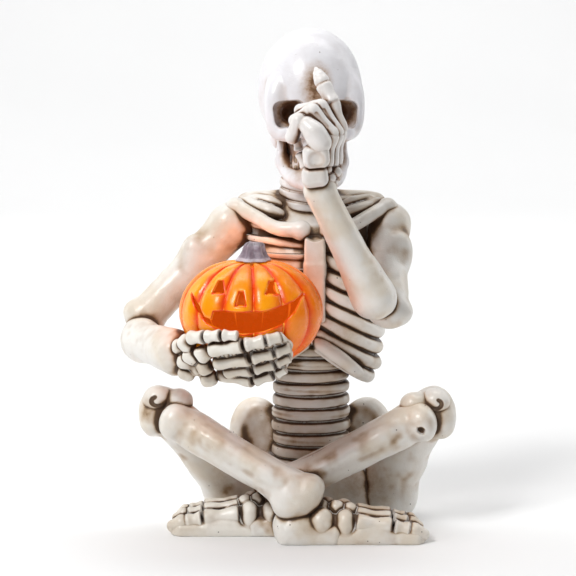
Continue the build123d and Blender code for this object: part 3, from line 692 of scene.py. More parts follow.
def sculpt_hushing_hand():
    carpals = block("left_carpals", 4, FINE)
    carpals.add(slab((0.6, -38.8, 110.9), (3.8, 3.2, 3.1), 2.2, turned(y=-6)))
    for at, r in (
        ((4.6, -36.2, 110.2), 1.9),
        ((6.6, -34.4, 111.8), 1.7),
        ((3.8, -36.8, 112.8), 1.6),
        ((1.8, -33.2, 110.8), 2.7),
        ((7.0, -32.4, 110.6), 1.8),
        ((5.2, -33.6, 108.8), 2.2),
    ):
        carpals.add(blob(at, (r * 1.12, r * 1.12, r)))
    piece(carpals, "hand", 0.12)

    palm = block("left_metacarpals", 4, FINE)
    palm.add(slab((0.9, -40.4, 117.0), (3.9, 3.2, 3.5), 2.3, turned(y=-4)))
    palm.cut(blob((0.9, -44.0, 116.0), (2.0, 1.4, 2.0)), k=1.5)
    for name, r in (("ring", 1.7), ("middle", 1.6), ("index", 1.6)):
        a, b = HUSHING[name][0], HUSHING[name][1]
        palm.add(finger_bone(a, b, r * 1.25, r * 1.4, 0.8))
    piece(palm, "hand", 0.08)

    thumb = block("left_thumb", 4, FINE)
    for i, (a, b) in enumerate(zip(HUSHING["thumb"], HUSHING["thumb"][1:])):
        thumb.add(finger_bone(a, b, 2.0 - 0.2 * i, 1.8 - 0.2 * i))
    piece(thumb, "hand", 0.08)

    pointing = block("left_pointing_finger", 4, FINE)
    line = [vec(*p) for p in HUSHING["index"]]
    pointing.add(shaft(line[1], line[2], [(0, 2.3), (0.5, 1.9), (1, 2.3)], ((0, 1, 0), 0.85)))
    pointing.add(finger_bone(line[2], line[3], 2.5, 2.4, 0.86, 0.1))
    tip = line[4] - line[3]
    nail = [(0, 2.3), (0.35, 2.0), (0.75, 1.4), (1, 0.6)]
    pointing.add(shaft(line[3] + tip * 0.22, line[4] + tip * 0.12, nail))
    piece(pointing, "hand", 0.08)

    curled = block("left_curled_fingers", 4, FINE)
    a, b, c = [vec(*p) for p in HUSHING["little"]]
    knuckle = [a + vec(0.8, 0, 1.6), (a + b) / 2 + vec(0.9, -0.6, 0.8), b + vec(0.4, -0.2, -0.6)]
    curled.add(*strand(knuckle, [3.6, 3.3, 2.5]))
    curled.add(shaft(b + vec(-2.0, 0.6, 0.6), c + vec(-0.4, 0.4, -1.6), [(0, 2.3), (0.5, 2.0), (1, 2.1)]))
    for name, r in (("ring", 2.2), ("middle", 2.2)):
        a, b, c = [vec(*p) for p in HUSHING[name][1:]]
        curled.add(shaft(a, b, [(0, r * 0.95), (0.5, r * 0.86), (1, r)]))
        way = b - a
        out = vec(0.2, -2.3, 0.5)
        curled.cut(cone(a + way * 0.25 + out, b - way * 0.2 + out, 0.5, 0.5), k=0.5)
        curled.add(shaft(b + (c - b) * 0.2, c, [(0, r), (0.5, r * 0.86), (1, r * 0.85)]))
    piece(curled, "hand", 0.08)


# Legs
# Side, knee, top of the shin, ankle, the line of the foot in y and the way that its toes point in x.
LEGS = {
    "right": (RIGHT, vec(-46.0, -8.0, 37.5), vec(-40.2, -14.5, 33.8), vec(-3.0, -28.0, 13.5), -25.5, 1),
    "left": (LEFT, vec(37.2, -8.0, 37.5), vec(31.8, -14.0, 34.4), vec(-9.5, -14.5, 12.2), -15.0, -1),
}

# Kneecap, inner condyle, outer condyle and the shin's head.
KNEES = {
    "right": [(-47.0, -11.6, 40.6), (-40.2, -12.2, 39.8), (-48.4, -10.2, 34.2), (-42.0, -17.0, 34.4)],
    "left": [(37.8, -11.6, 39.7), (31.0, -12.2, 38.6), (39.8, -10.2, 33.6), (33.8, -17.0, 33.6)],
}


def sculpt_legs():
    for name, (side, knee, shin, ankle, line_y, way) in LEGS.items():
        hip = vec(side * 23.5, 7.0, 9.5)
        cap_at, condyle, outer, head = [vec(*point) for point in KNEES[name]]
        thigh = block(f"{name}_femur", 5)
        thigh.add(shaft(hip, knee, [(0, 9.6), (0.3, 8.2), (0.62, 6.7), (0.85, 6.6), (1, 6.2)]))
        thigh.add(blob(condyle, (4.2, 4.4, 3.9)), k=3)
        thigh.add(blob(outer, (4.2, 5.4, 5.8)), k=3)
        thigh.add(blob(hip + vec(side * 2.0, -2.0, -4.0), (7.0, 8.0, 7.0)), k=4)
        piece(thigh.flat_base(0.06), "bone", 0.16)

        leg = block(f"{name}_tibia", 5)
        leg.add(shaft(shin, ankle, [(0, 5.6), (0.14, 6.2), (0.36, 5.8), (0.7, 5.5), (0.9, 6.3), (1, 5.6)]))
        leg.add(blob(head, (3.9, 4.6, 5.2), turned(y=-side * 12)), k=2.6)
        leg.add(blob(ankle + vec(-side * 2.6, 0.4, 3.4), (4.2, 4.4, 3.8)), k=2.5)
        leg.add(blob(ankle + vec(side * 3.6, -1.2, -1.6), (5.4, 5.2, 5.0)), k=2.5)
        crest = [shin + (ankle - shin) * t + vec(0, -5.0, 1.6) for t in (0.2, 0.45, 0.8)]
        leg.add(*strand(crest, [1.4, 1.2, 0.8]), k=3)
        if side == LEFT:  # a casting flaw in the shin
            leg.cut(blob((32.8, -21.2, 32.4), (1.2, 1.6, 0.9), turned(y=35)), k=0.3)
        piece(leg.flat_base(0.12), "bone", 0.16)

        thin = block(f"{name}_fibula", 4, FINE)
        lift = vec(side * 0.5, 2.6, 4.9)
        thin.add(shaft(shin + lift, ankle + lift, [(0, 2.4), (0.2, 1.7), (0.6, 1.5), (0.85, 1.8), (1, 2.5)]))
        piece(thin, "bone", 0.08)

        cap = block(f"{name}_kneecap", 5, FINE)
        cap.add(blob(cap_at, (4.5, 4.6, 4.0), turned(y=side * 14)))
        loop = [
            cap_at + vec(side * (2.0 * math.cos(a) - 0.4), -4.3, 1.5 * math.sin(a) - 0.2)
            for a in np.linspace(-2.0, 1.2, 6)
        ]
        cap.cut(*strand(loop, [0.05, 0.16, 0.05]), k=0.8)
        piece(cap, "bone", 0.06)
        sculpt_foot(name, ankle, line_y, way)


def sculpt_foot(name, ankle, line_y, way):
    """Rows of bones on one flat sole. u runs from the ankle to the toes, v from the far side to the near."""
    back = 0.0 if way > 0 else -3.6  # the rear foot's bones start nearer its ankle
    # The rear foot's midfoot and toes take the coat whose crevices go darker.
    coat = "bone" if way > 0 else "darker_crevices"

    def at(u, v, z):
        return vec(ankle[0] + way * (u + back), line_y - v, z)

    heel = block(f"{name}_heel", 5, FINE)
    heel.add(blob(at(-1.5 - back, 1.0, 4.6), (7.2, 7.0, 6.4)))
    heel.add(slab(at(2.5 - back * 0.5, 0.6, 2.4), (9.5, 7.2, 3.4), 2.6), k=3)
    heel.add(blob(at(3.0 - back * 0.5, -1.0, 6.6), (6.5, 5.6, 5.0)), k=2)
    piece(heel.flat_base(0.06), "bone", 0.14)

    middle = block(f"{name}_midfoot", 5, FINE)
    middle.add(slab(at(18.5, 0.2, 1.4), (17.5, 7.2, 2.6), 2.4))
    middle.add(slab(at(11.0, -0.6, 4.6), (10.5, 5.8, 3.8), 2.6), k=2)
    for u, v, z, radii in (
        (5.6, 3.6, 5.6, (4.3, 4.4, 5.0)),
        (12.9, 3.8, 5.6, (3.1, 3.9, 4.6)),
        (5.6, 0.6, 10.0, (2.5, 2.7, 2.4)),
        (10.4, 0.7, 9.9, (2.4, 2.6, 2.3)),
        (14.4, 0.8, 9.4, (2.2, 2.5, 2.2)),
        (7.6, -2.8, 10.2, (2.5, 2.6, 2.2)),
        (12.6, -3.0, 9.8, (2.4, 2.6, 2.1)),
        (4.6, -2.6, 10.8, (2.0, 2.2, 1.9)),
    ):
        middle.add(blob(at(u, v, z), radii), k=0.5)
    for u, z, drop in ((9.7, 8.6, 5.0), (15.7, 8.2, 4.6), (1.7, 8.4, 3.6)):
        hook = [at(u + 0.2, 7.4, z), at(u - 0.1, 8.2, z - drop * 0.5), at(u + 0.7, 8.4, z - drop)]
        middle.cut(*strand(hook, [0.7, 0.6, 0.3]), k=0.6)
    middle.cut(blob(at(8.6, 8.4, 3.0), (0.9, 0.8, 0.6)), k=0.3)
    # Four rows of long bones, from the near one: v, height, radius at the knobs and at the waist.
    rows = ((4.4, 6.3, 2.7, 2.1), (1.3, 8.3, 2.0, 1.6), (-1.4, 9.2, 1.8, 1.5), (-4.2, 8.4, 1.9, 1.5))
    for row, (v, z, r, thin) in enumerate(rows):
        end = at(27.0, v * 1.02, z - 1.3)
        if row == 0:
            middle.add(slab(at(21.4, 4.0, 3.0), (6.0, 3.0, 2.8), 2.2), k=1.5)
        middle.add(cone(at(17.4, v, z - 2.0), end - vec(0, 0, 1.6), 1.6, 1.4), k=0.8)
        middle.add(finger_bone(at(15.9, v, z), end, r, r, thin / r), k=0.25)
    piece(middle.flat_base(), coat, 0.14)

    toes = block(f"{name}_toes", 5, FINE)
    toes.add(slab(at(31.6, 0.2, 1.2), (5.2, 6.2, 2.2), 2.0))
    for row, (v, z, r, thin) in enumerate(rows):
        u0, u1, u2 = 27.2 - 0.2 * row, 32.4 - 0.5 * row, 37.2 - 1.1 * row
        z0 = z - 1.6
        toes.add(cone(at(u0 + 1, v, z0 - 2.0), at(u2 - 2, v * 0.9, z0 - 2.6), 1.6, 1.3), k=1.0)
        joint = at(u1, v * 0.97, z0 - 0.9)
        toes.add(finger_bone(at(u0, v, z0), joint, r * 1.02, r * 0.98, 0.8), k=0.2)
        tip = at(u2 - 1.0, v * 0.88, z0 - 2.2)
        nail = [(0, r * 0.98), (0.6, r * 0.85), (1, r * 0.74)]
        toes.add(shaft(at(u1 + 1.2, v * 0.95, z0 - 1.2), tip, nail), k=0.2)
    piece(toes.flat_base(0.12), coat, 0.10)


# Pumpkin. Its frame has its origin in its middle and faces a little to the figure's right.
FACE = turned(z=-6)
SEGMENTS, FIRST_GROOVE = 13, 9.0  # grooves, and how far round the first one is, in degrees


def prism(outline):
    """A prism through the front wall, from an outline in x and z."""
    points = np.array(outline, float)

    def field(x, y, z):
        inside = np.full(np.broadcast(x, z).shape, 1e9)
        sign = np.ones_like(inside)
        for (ax, az), (bx, bz) in zip(points, np.roll(points, 1, axis=0)):
            ex, ez = bx - ax, bz - az
            wx, wz = x - ax, z - az
            t = np.clip((wx * ex + wz * ez) / (ex * ex + ez * ez), 0, 1)
            inside = np.minimum(inside, (wx - ex * t) ** 2 + (wz - ez * t) ** 2)
            c1, c2, c3 = z >= az, z < bz, ex * wz > ez * wx
            flip = (c1 & c2 & c3) | (~c1 & ~c2 & ~c3)
            sign = np.where(flip, -sign, sign)
        return np.maximum((sign * np.sqrt(inside)).astype(np.float32), y + 4.0)

    low, high = points.min(0), points.max(0)
    return vec(low[0], -30, low[1]), vec(high[0], -4, high[1]), field


def lobes(x, y):
    """How far up a lobe of the pumpkin, from 0 in a groove to 1 on its crown."""
    return np.abs(np.sin((np.arctan2(x, -y) - math.radians(FIRST_GROOVE)) * SEGMENTS / 2))


def gourd(radii, relief):
    """A ribbed pumpkin body; relief is how deep its grooves are, as a share of its radius."""

    def field(x, y, z):
        swell = lobes(x, y)
        level = np.clip(np.abs(z) / radii[2], 0, 1)
        s = 1 - relief * (1 - swell) ** 2.2 - 0.035 * (1 - swell ** 0.5) * (1 - level)
        pole = np.exp(-(x * x + y * y) / 40.0)
        s = s - 0.10 * pole * (z > 0)
        return oval(x, y, z, radii, s) * 0.95

    return -radii, radii, field


def sculpt_pumpkin():
    shell = block("pumpkin_shell", 4.5, FINE)
    shell.add(placed(gourd(PUMPKIN, 0.05), PUMPKIN_AT, FACE))
    shell.cut(placed(blob((0, 0, 0), PUMPKIN - 2.3), PUMPKIN_AT, FACE))
    eye = [(-1.7, -1.6), (1.6, -1.4), (0.9, 1.7), (-0.1, 1.7)]
    left = [(x - 7.7, z + 9.0) for x, z in eye]
    right = [(-x + 7.7, z + 9.0) for x, z in eye]
    nose = [(-2.2, 4.5), (0.5, 4.5), (-0.4, 8.2), (-1.3, 8.2)]
    smile = [
        (-16.2, 6.4), (-13.0, 2.6), (-11.6, 0.6), (-9.4, 0.0), (-8.8, 2.4), (-6.0, 2.6), (0.0, 2.4),
        (5.6, 2.7), (10.6, 3.8), (13.8, 5.0), (16.0, 6.6), (14.2, 2.4), (10.8, -0.9), (5.6, -3.1),
        (0.0, -3.7), (-5.6, -3.2), (-10.6, -1.2), (-14.2, 2.2),
    ]
    for outline in (left, right, nose, smile):
        shell.cut(placed(prism(outline), PUMPKIN_AT, FACE), k=0.9)
    lamp_low, lamp_high = [np.array(c) * 1000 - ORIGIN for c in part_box("lamp")]
    at = (lamp_low + lamp_high) / 2
    shell.cut(cone(at + vec(0, 6, 0), at - vec(0, 6, 0), 2.6, 2.6))
    piece(shell, "pumpkin", 0.10)

    stem = block("pumpkin_stem", 3.5, FINE)
    base = PUMPKIN_AT + vec(0.6, 0, PUMPKIN[2] - 1.2)

    def twig(x, y, z):
        h = np.clip(z / 5.6, 0, 1)
        angle = np.arctan2(y, x)
        r = 2.75 + 2.3 * (1 - h) ** 2.2 + (0.28 + 0.25 * (1 - h)) * np.cos(angle * 6 + 0.8 * h)
        side = np.sqrt((x - 0.5 * h) ** 2 + y * y) - r
        up = z - 5.5
        body = np.maximum(side, np.maximum(up, -z)) * 0.8
        return body + np.maximum(1.2 - np.abs(side - up), 0) ** 2 / 4.8

    stem.add(placed((vec(-5.5, -5.5, 0), vec(6, 5.5, 5.6), twig), base, turned(z=10)))
    piece(stem, "stem", 0.14)


# ---- Paint ------------------------------------------------------------------------------------------
def lattice_noise(points, size, seed):
    """Smooth noise from -1 to 1 with features of about size millimetres."""
    table = np.random.RandomState(seed).uniform(-1, 1, (32, 32, 32))
    spot = points / size
    cell = np.floor(spot).astype(int)
    f = spot - cell
    f = f * f * (3 - 2 * f)
    total = np.zeros(len(points))
    for corner in np.ndindex(2, 2, 2):
        weight = np.prod(np.where(corner, f, 1 - f), axis=1)
        total += weight * table[tuple(((cell + corner) % 32).T)]
    return total


def mesh_normals(points, quads):
    across = np.cross(points[quads[:, 2]] - points[quads[:, 0]], points[quads[:, 3]] - points[quads[:, 1]])
    normals = np.zeros_like(points)
    for i in range(4):
        np.add.at(normals, quads[:, i], across)
    return normals / (np.linalg.norm(normals, axis=1, keepdims=True) + 1e-12)


def whole_field():
    """The union of every piece at the coarse step."""
    clays = [clay for clay, _, _ in made]
    low = np.min([clay.low for clay in clays], axis=0) - 4 * COARSE
    high = np.max([clay.low + np.array(clay.d.shape) * clay.step for clay in clays], axis=0) + 4 * COARSE
    whole = Clay(low, high)
    for clay in clays:
        stride = round(COARSE / clay.step)
        part = clay.d[::stride, ::stride, ::stride]
        start = np.round((clay.low - whole.low) / COARSE).astype(int)
        where = tuple(slice(s, s + n) for s, n in zip(start, part.shape))
        whole.d[where] = np.minimum(whole.d[where], part)
    return whole


def crowding(whole):
    """How full of resin the surroundings are, from 0 to 1, in a ball of some 6 mm: the broad shade."""
    share = (whole.d[1::3, 1::3, 1::3] < 0).astype(np.float32)
    room = Clay(whole.low + COARSE, whole.low + COARSE, 3 * COARSE)
    for axis in (0, 1, 2) * 3:
        share = sum(np.roll(share, step, axis) for step in range(-2, 3)) / 5
    room.d = share
    return room


# Brown put on in spots, partly painted shade (the eye sockets, the cheek hollows, between the legs) and
# partly brown antiquing: centre, radii and strength.
BROWN_AND_SHADE_SPOTS = [
    ((1.2, -17.5, 136.0), (4.8, 7.0, 7.8), 1.5),
    ((-6.4, -12.0, 127.5), (4.5, 7.0, 4.5), 2.4),
    ((8.9, -10.6, 127.5), (4.5, 7.0, 4.5), 2.4),
    ((-6.9, -14.0, 116.0), (2.9, 7.0, 5.0), 2.0),
    ((9.2, -13.0, 116.0), (2.9, 7.0, 5.0), 2.0),
    ((-3.5, -38.5, 121.2), (2.8, 3.2, 2.6), 1.4),
    ((0.5, -17.5, 110.0), (9.0, 6.0, 6.0), 0.8),
    ((-26.0, -10.0, 12.0), (9.0, 9.0, 9.0), 0.7),
    ((16.0, -4.0, 12.0), (12.0, 8.0, 9.0), 0.8),
    ((0.0, -3.0, 22.0), (12.0, 5.0, 7.0), 0.55),
    ((-17.0, 6.0, 22.0), (7.0, 7.0, 8.0), 0.7),
    ((12.0, 6.0, 24.0), (8.0, 7.0, 8.0), 0.6),
    ((-49.0, -8.0, 60.5), (6.0, 8.0, 2.6), 0.7),
    ((-50.5, -16.0, 38.2), (3.0, 8.0, 5.0), 0.6),
    ((-24.0, -14.5, 6.5), (14.0, 8.0, 5.0), 0.5),
    ((-46.0, -15.0, 5.0), (6.0, 8.0, 4.5), 0.8),
    ((12.0, -24.0, 11.0), (14.0, 4.0, 3.0), 0.5),
    ((28.0, -25.5, 7.0), (7.0, 8.0, 3.5), 0.5),
    ((8.0, -12.0, 60.0), (16.0, 6.0, 7.0), 0.45),
    ((-8.0, -10.0, 84.0), (12.0, 5.0, 9.0), 0.35),
    ((-38.0, -36.0, 54.0), (4.0, 6.0, 4.0), 0.7),
    ((32.8, -21.0, 32.4), (1.3, 2.0, 1.0), 1.6),
    ((-13.0, -2.0, 14.0), (8.0, 8.0, 9.0), 0.6),
    ((-20.0, 8.0, 29.0), (7.0, 5.0, 6.0), 0.5),
    ((20.0, 8.0, 29.0), (7.0, 5.0, 6.0), 0.5),
    ((26.0, -2.0, 26.0), (9.0, 5.0, 5.0), 0.45),
    ((-33.0, -2.0, 24.0), (9.0, 5.0, 6.0), 0.45),
]


def hollow(field, points, normals, height):
    """From 0 in the open to 1 in a crevice, at one height above the surface."""
    return np.clip((height - field.at(points + normals * height)) / height, 0, 1)


def build(clay, lumps, whole, crowd):
    """The piece's mesh, with what the paint reads stored at its points."""
    points, quads = clay.mesh()
    normals = mesh_normals(points, quads)
    swell = lattice_noise(points, 5.0, 1) + 0.5 * lattice_noise(points, 1.9, 2)
    flat = points[:, 2] < clay.base + 0.02
    points = points + normals * (swell * lumps)[:, None]
    points[:, 2] = np.where(flat, clay.base, np.maximum(points[:, 2], clay.base))
    normals = mesh_normals(points, quads)
    small = 0.6 * hollow(clay, points, normals, 0.5) + 0.4 * hollow(clay, points, normals, 1.0)
    # wide and deep hold the hollows for the brown antiquing and for painted shade: wide is how hollow it is
    # out to 3.6 mm among all pieces, deep how crowded it is 3 mm out, raised in the spots.
    wide = sum(hollow(whole, points, normals, height) for height in (0.9, 1.8, 3.6)) / 3
    edge = np.clip((0.8 + clay.at(points - normals * 0.8)) / 0.8, 0, 1)
    deep = np.clip((crowd.at(points + normals * 3.0) - 0.13) / 0.42, 0, 1)
    for centre, radius, strength in BROWN_AND_SHADE_SPOTS:
        away = np.linalg.norm((points - vec(*centre)) / vec(*radius), axis=1)
        deep = np.maximum(deep, strength * np.clip(1.3 - away, 0, 1))
    if clay.node == "pumpkin_shell":
        seen = (points - PUMPKIN_AT) @ FACE
        # The pumpkin's wide marks the wall's inner face, which its paint darkens as painted shade; its deep
        # marks the grooves.
        wide = np.clip((0.905 - np.linalg.norm(seen / PUMPKIN, axis=1)) / 0.03, 0, 1)  # the wall's inner face
        deep = (1 - lobes(seen[:, 0], seen[:, 1])) ** 1.1
    # glow is painted light: the pumpkin's orange light painted into the colour of what is near it, strongest
    # on faces turned to it.
    away = PUMPKIN_AT - points
    reach_to = np.linalg.norm(away / PUMPKIN, axis=1) - 1
    facing = np.clip(0.55 + 0.7 * np.sum(normals * away, axis=1) / np.linalg.norm(away, axis=1), 0, 1)
    glow = np.clip(1 - reach_to / 0.6, 0, 1) ** 1.2 * facing * GLOW_SHARE.get(clay.node, 1.0)

    mesh = bpy.data.meshes.new(clay.node)
    mesh.vertices.add(len(points))
    mesh.vertices.foreach_set("co", ((points + ORIGIN) / 1000).astype(np.float32).ravel())
    mesh.loops.add(quads.size)
    mesh.loops.foreach_set("vertex_index", quads.astype(np.int32).ravel())
    mesh.polygons.add(len(quads))
    mesh.polygons.foreach_set("loop_start", np.arange(0, quads.size, 4, dtype=np.int32))
    mesh.update(calc_edges=True)
    mesh.validate()
    mesh.shade_smooth()
    for name, values in (("small", small), ("wide", wide), ("edge", edge), ("deep", deep), ("glow", glow)):
        layer = mesh.attributes.new(name, "FLOAT", "POINT")
        layer.data.foreach_set("value", values.astype(np.float32))
    obj = bpy.data.objects.new("resin_" + clay.node, mesh)
    bpy.context.scene.collection.objects.link(obj)
    return obj


class Paint:
    """Short forms for building a node material."""

    def __init__(self, name):
        self.material = bpy.data.materials.new(name)
        self.material.use_nodes = True
        self.tree = self.material.node_tree
        self.tree.nodes.clear()
        out = self.tree.nodes.new("ShaderNodeOutputMaterial")
        self.skin = self.tree.nodes.new("ShaderNodeBsdfPrincipled")
        self.tree.links.new(self.skin.outputs[0], out.inputs[0])
        self.place = self.tree.nodes.new("ShaderNodeTexCoord").outputs["Object"]

    def link(self, value, socket):
        if isinstance(value, (int, float)):
            socket.default_value = value
        elif isinstance(value, tuple):
            socket.default_value = (*value, 1.0) if len(value) == 3 else value
        else:
            self.tree.links.new(value, socket)

    def finish(self, **sockets):
        """Sets the shader's sockets, whose names have _ for a space, and gives the material."""
        for name, value in sockets.items():
            self.link(value, self.skin.inputs[name.replace("_", " ")])
        return self.material

    def attribute(self, name):
        node = self.tree.nodes.new("ShaderNodeAttribute")
        node.attribute_name = name
        return node.outputs["Fac"]

    def place_on(self, axis):
        node = self.tree.nodes.new("ShaderNodeSeparateXYZ")
        self.link(self.place, node.inputs[0])
        return node.outputs[axis]

    def noise(self, scale, detail, rough=0.55):
        node = self.tree.nodes.new("ShaderNodeTexNoise")
        self.link(self.place, node.inputs["Vector"])
        node.inputs["Scale"].default_value = scale
        node.inputs["Detail"].default_value = detail
        node.inputs["Roughness"].default_value = rough
        return node.outputs["Fac"]

    def math(self, kind, a, b=0.0, clamp=False):
        node = self.tree.nodes.new("ShaderNodeMath")
        node.operation = kind
        node.use_clamp = clamp
        self.link(a, node.inputs[0])
        self.link(b, node.inputs[1])
        return node.outputs[0]

    def times(self, a, b):
        return self.math("MULTIPLY", a, b)

    def plus(self, a, b):
        return self.math("ADD", a, b)

    def ramp(self, value, low, high, from_value=0.0, to_value=1.0):
        node = self.tree.nodes.new("ShaderNodeMapRange")
        node.interpolation_type = "SMOOTHSTEP"
        for i, v in enumerate((value, low, high, from_value, to_value)):
            self.link(v, node.inputs[i])
        return node.outputs[0]

    def mix(self, factor, a, b, kind="MIX"):
        node = self.tree.nodes.new("ShaderNodeMix")
        node.data_type = "RGBA"
        node.blend_type = kind
        self.link(factor, node.inputs[0])
        self.link(a, node.inputs[6])
        self.link(b, node.inputs[7])
        return node.outputs[2]

    def pits(self, scale, share, size):
        """Round spots of trapped air: 1 inside a spot. share is how many cells hold one."""
        node = self.tree.nodes.new("ShaderNodeTexVoronoi")
        self.link(self.place, node.inputs["Vector"])
        node.inputs["Scale"].default_value = scale
        chosen = self.tree.nodes.new("ShaderNodeSeparateColor")
        self.link(node.outputs["Color"], chosen.inputs[0])
        here = self.math("LESS_THAN", chosen.outputs[0], share)
        wide = self.times(chosen.outputs[1], size)
        spot = self.ramp(self.math("SUBTRACT", node.outputs["Distance"], wide), 0.0, -0.05)
        return self.times(here, spot)

    def bump(self, height, distance, strength):
        node = self.tree.nodes.new("ShaderNodeBump")
        node.inputs["Strength"].default_value = strength
        node.inputs["Distance"].default_value = distance
        self.link(height, node.inputs["Height"])
        return node.outputs[0]


def resin(name, light, warm, tan, dark, wash_and_shade, film):
    """Painted cast resin: a pale coat, brown antiquing in the hollows with painted shade laid over it, rubbed
    edges and the pumpkin's orange light painted on.
    """
    p = Paint(name)
    broad, mid, fine = p.noise(70, 3), p.noise(420, 4), p.noise(2200, 3)
    small, wide, edge = p.attribute("small"), p.attribute("wide"), p.attribute("edge")
    coat = p.mix(p.ramp(broad, 0.42, 0.66), light, warm)
    film_here = p.times(p.ramp(p.noise(150, 5, 0.7), 0.52, 0.80), film)
    coat = p.mix(film_here, coat, tan)
    # Tan, then dark: the brown antiquing in the small hollows, and painted shade from wide and deep between
    # the pieces and in the spots.
    depth = p.plus(p.times(small, 0.9 * wash_and_shade), p.times(wide, 0.85 * wash_and_shade))
    depth = p.plus(depth, p.times(p.math("SUBTRACT", mid, 0.5), 0.24))
    shade = p.times(p.attribute("deep"), p.ramp(p.noise(650, 6, 0.75), 0.3, 0.7, 0.75, 1.1))
    depth = p.plus(depth, p.times(shade, 0.55 * wash_and_shade))
    coat = p.mix(p.ramp(depth, 0.06, 0.84), coat, tan)
    coat = p.mix(p.ramp(depth, 0.48, 0.98), coat, dark)
    rubbed = p.ramp(p.plus(edge, p.times(mid, 0.25)), 0.30, 0.66, 0.0, 0.75)
    coat = p.mix(rubbed, coat, light)
    speck = p.pits(560, 0.16, 0.17)
    coat = p.mix(p.times(speck, 0.8), coat, dark)
    # Painted light: the pumpkin's orange glow multiplied into the coat.
    lit = p.mix(1.0, coat, (1.0, 0.36, 0.09), "MULTIPLY")
    coat = p.mix(p.math("MULTIPLY", p.attribute("glow"), 1.25, True), coat, lit)
    relief = p.plus(p.times(mid, 0.7), p.times(fine, 0.3))
    relief = p.math("SUBTRACT", relief, p.times(speck, 0.8))
    return p.finish(
        Base_Color=coat,
        Roughness=p.ramp(p.plus(depth, p.times(fine, 0.3)), 0.1, 1.2, 0.36, 0.72),
        Specular_IOR_Level=0.45,
        Coat_Weight=0.35,
        Coat_Roughness=0.22,
        Normal=p.bump(relief, 0.00035, 0.75),
    )


def pumpkin_paint():
    p = Paint("lit_pumpkin_resin")
    small, wide, edge, groove = (p.attribute(name) for name in ("small", "wide", "edge", "deep"))
    mid, fine = p.noise(260, 4), p.noise(1500, 3)
    depth = p.plus(p.times(small, 1.6), p.times(groove, 0.75))
    depth = p.plus(depth, p.times(p.math("SUBTRACT", mid, 0.5), 0.5))
    skin = p.mix(p.ramp(p.noise(90, 2), 0.35, 0.7), (0.88, 0.26, 0.003), (0.94, 0.36, 0.006))
    skin = p.mix(p.ramp(depth, 0.12, 0.75), skin, (0.72, 0.055, 0.004))
    # Painted shade: the skin turns redder and darker towards its bottom and towards +x, the figure's left
    # side.
    skin = p.mix(p.ramp(p.place_on("Z"), 0.052, 0.070, 0.6, 0.0), skin, (0.74, 0.085, 0.004))
    skin = p.mix(p.ramp(p.place_on("X"), -0.014, 0.012, 0.0, 0.6), skin, (0.78, 0.10, 0.004))
    # Painted shade: darker and browner on the wall's inner face.
    skin = p.mix(p.ramp(wide, 0.1, 0.7), skin, (0.62, 0.17, 0.010))
    # Painted highlight: lighter on the sharp rims.
    skin = p.mix(p.ramp(edge, 0.45, 0.95), skin, (1.0, 0.42, 0.05))
    relief = p.plus(p.times(mid, 0.8), p.times(fine, 0.2))
    return p.finish(
        Base_Color=skin,
        # Painted light: the skin glows in its own colour, standing in for the lamp's light through the shell.
        Emission_Color=skin,
        Emission_Strength=0.18,
        Specular_IOR_Level=0.35,
        Roughness=p.ramp(mid, 0.2, 0.8, 0.20, 0.38),
        Coat_Weight=0.2,
        Coat_Roughness=0.12,
        Normal=p.bump(relief, 0.0005, 0.6),
    )


def stem_paint():
    p = Paint("painted_stem")
    small, edge = p.attribute("small"), p.attribute("edge")
    mid = p.noise(500, 4)
    coat = p.mix(p.ramp(p.noise(260, 3), 0.35, 0.65), (0.20, 0.15, 0.19), (0.42, 0.36, 0.42))
    depth = p.plus(small, p.times(mid, 0.3))
    coat = p.mix(p.ramp(depth, 0.2, 0.6), coat, (0.06, 0.035, 0.04))
    coat = p.mix(p.ramp(edge, 0.2, 0.6, 0.0, 0.7), coat, (0.62, 0.55, 0.60))
    return p.finish(
        Base_Color=coat, Roughness=p.ramp(mid, 0.2, 0.8, 0.35, 0.6), Normal=p.bump(mid, 0.0006, 0.8)
    )


def plain_paint(name, low, high, rough, metal=0.0):
    """Moulded plastic, rubber or plated metal for the parts that the CAD model already shapes."""
    p = Paint(name)
    mid, fine = p.noise(108, 4), p.noise(1800, 2)
    return p.finish(
        Base_Color=p.mix(p.ramp(mid, 0.35, 0.65), low, high),
        Roughness=p.ramp(mid, 0.3, 0.7, rough - 0.07, rough + 0.09),
        Metallic=metal,
        Normal=p.bump(fine, 0.0001, 0.5),
    )


def lens_paint():
    p = Paint("lamp_lens")
    mid = p.noise(700, 2)
    return p.finish(
        Base_Color=p.mix(p.ramp(mid, 0.3, 0.7), (1.0, 0.62, 0.22), (1.0, 0.74, 0.34)),
        Roughness=p.ramp(mid, 0.3, 0.7, 0.06, 0.14),
        Emission_Color=(1.0, 0.55, 0.18),
        Emission_Strength=0.5,
        Normal=p.bump(mid, 0.0001, 0.3),
    )


# How much of the pumpkin's glow stays on the bones that are painted over it; the rest take it whole.
GLOW_SHARE = {
    "right_carpals": 0.12,
    "right_metacarpals": 0.12,
    "right_thumb": 0.12,
    "right_fingers": 0.12,
    "right_humerus": 0.9,
}

sculpt_head()
sculpt_trunk()
sculpt_arms()
sculpt_holding_hand()
sculpt_hushing_hand()
sculpt_legs()
sculpt_pumpkin()

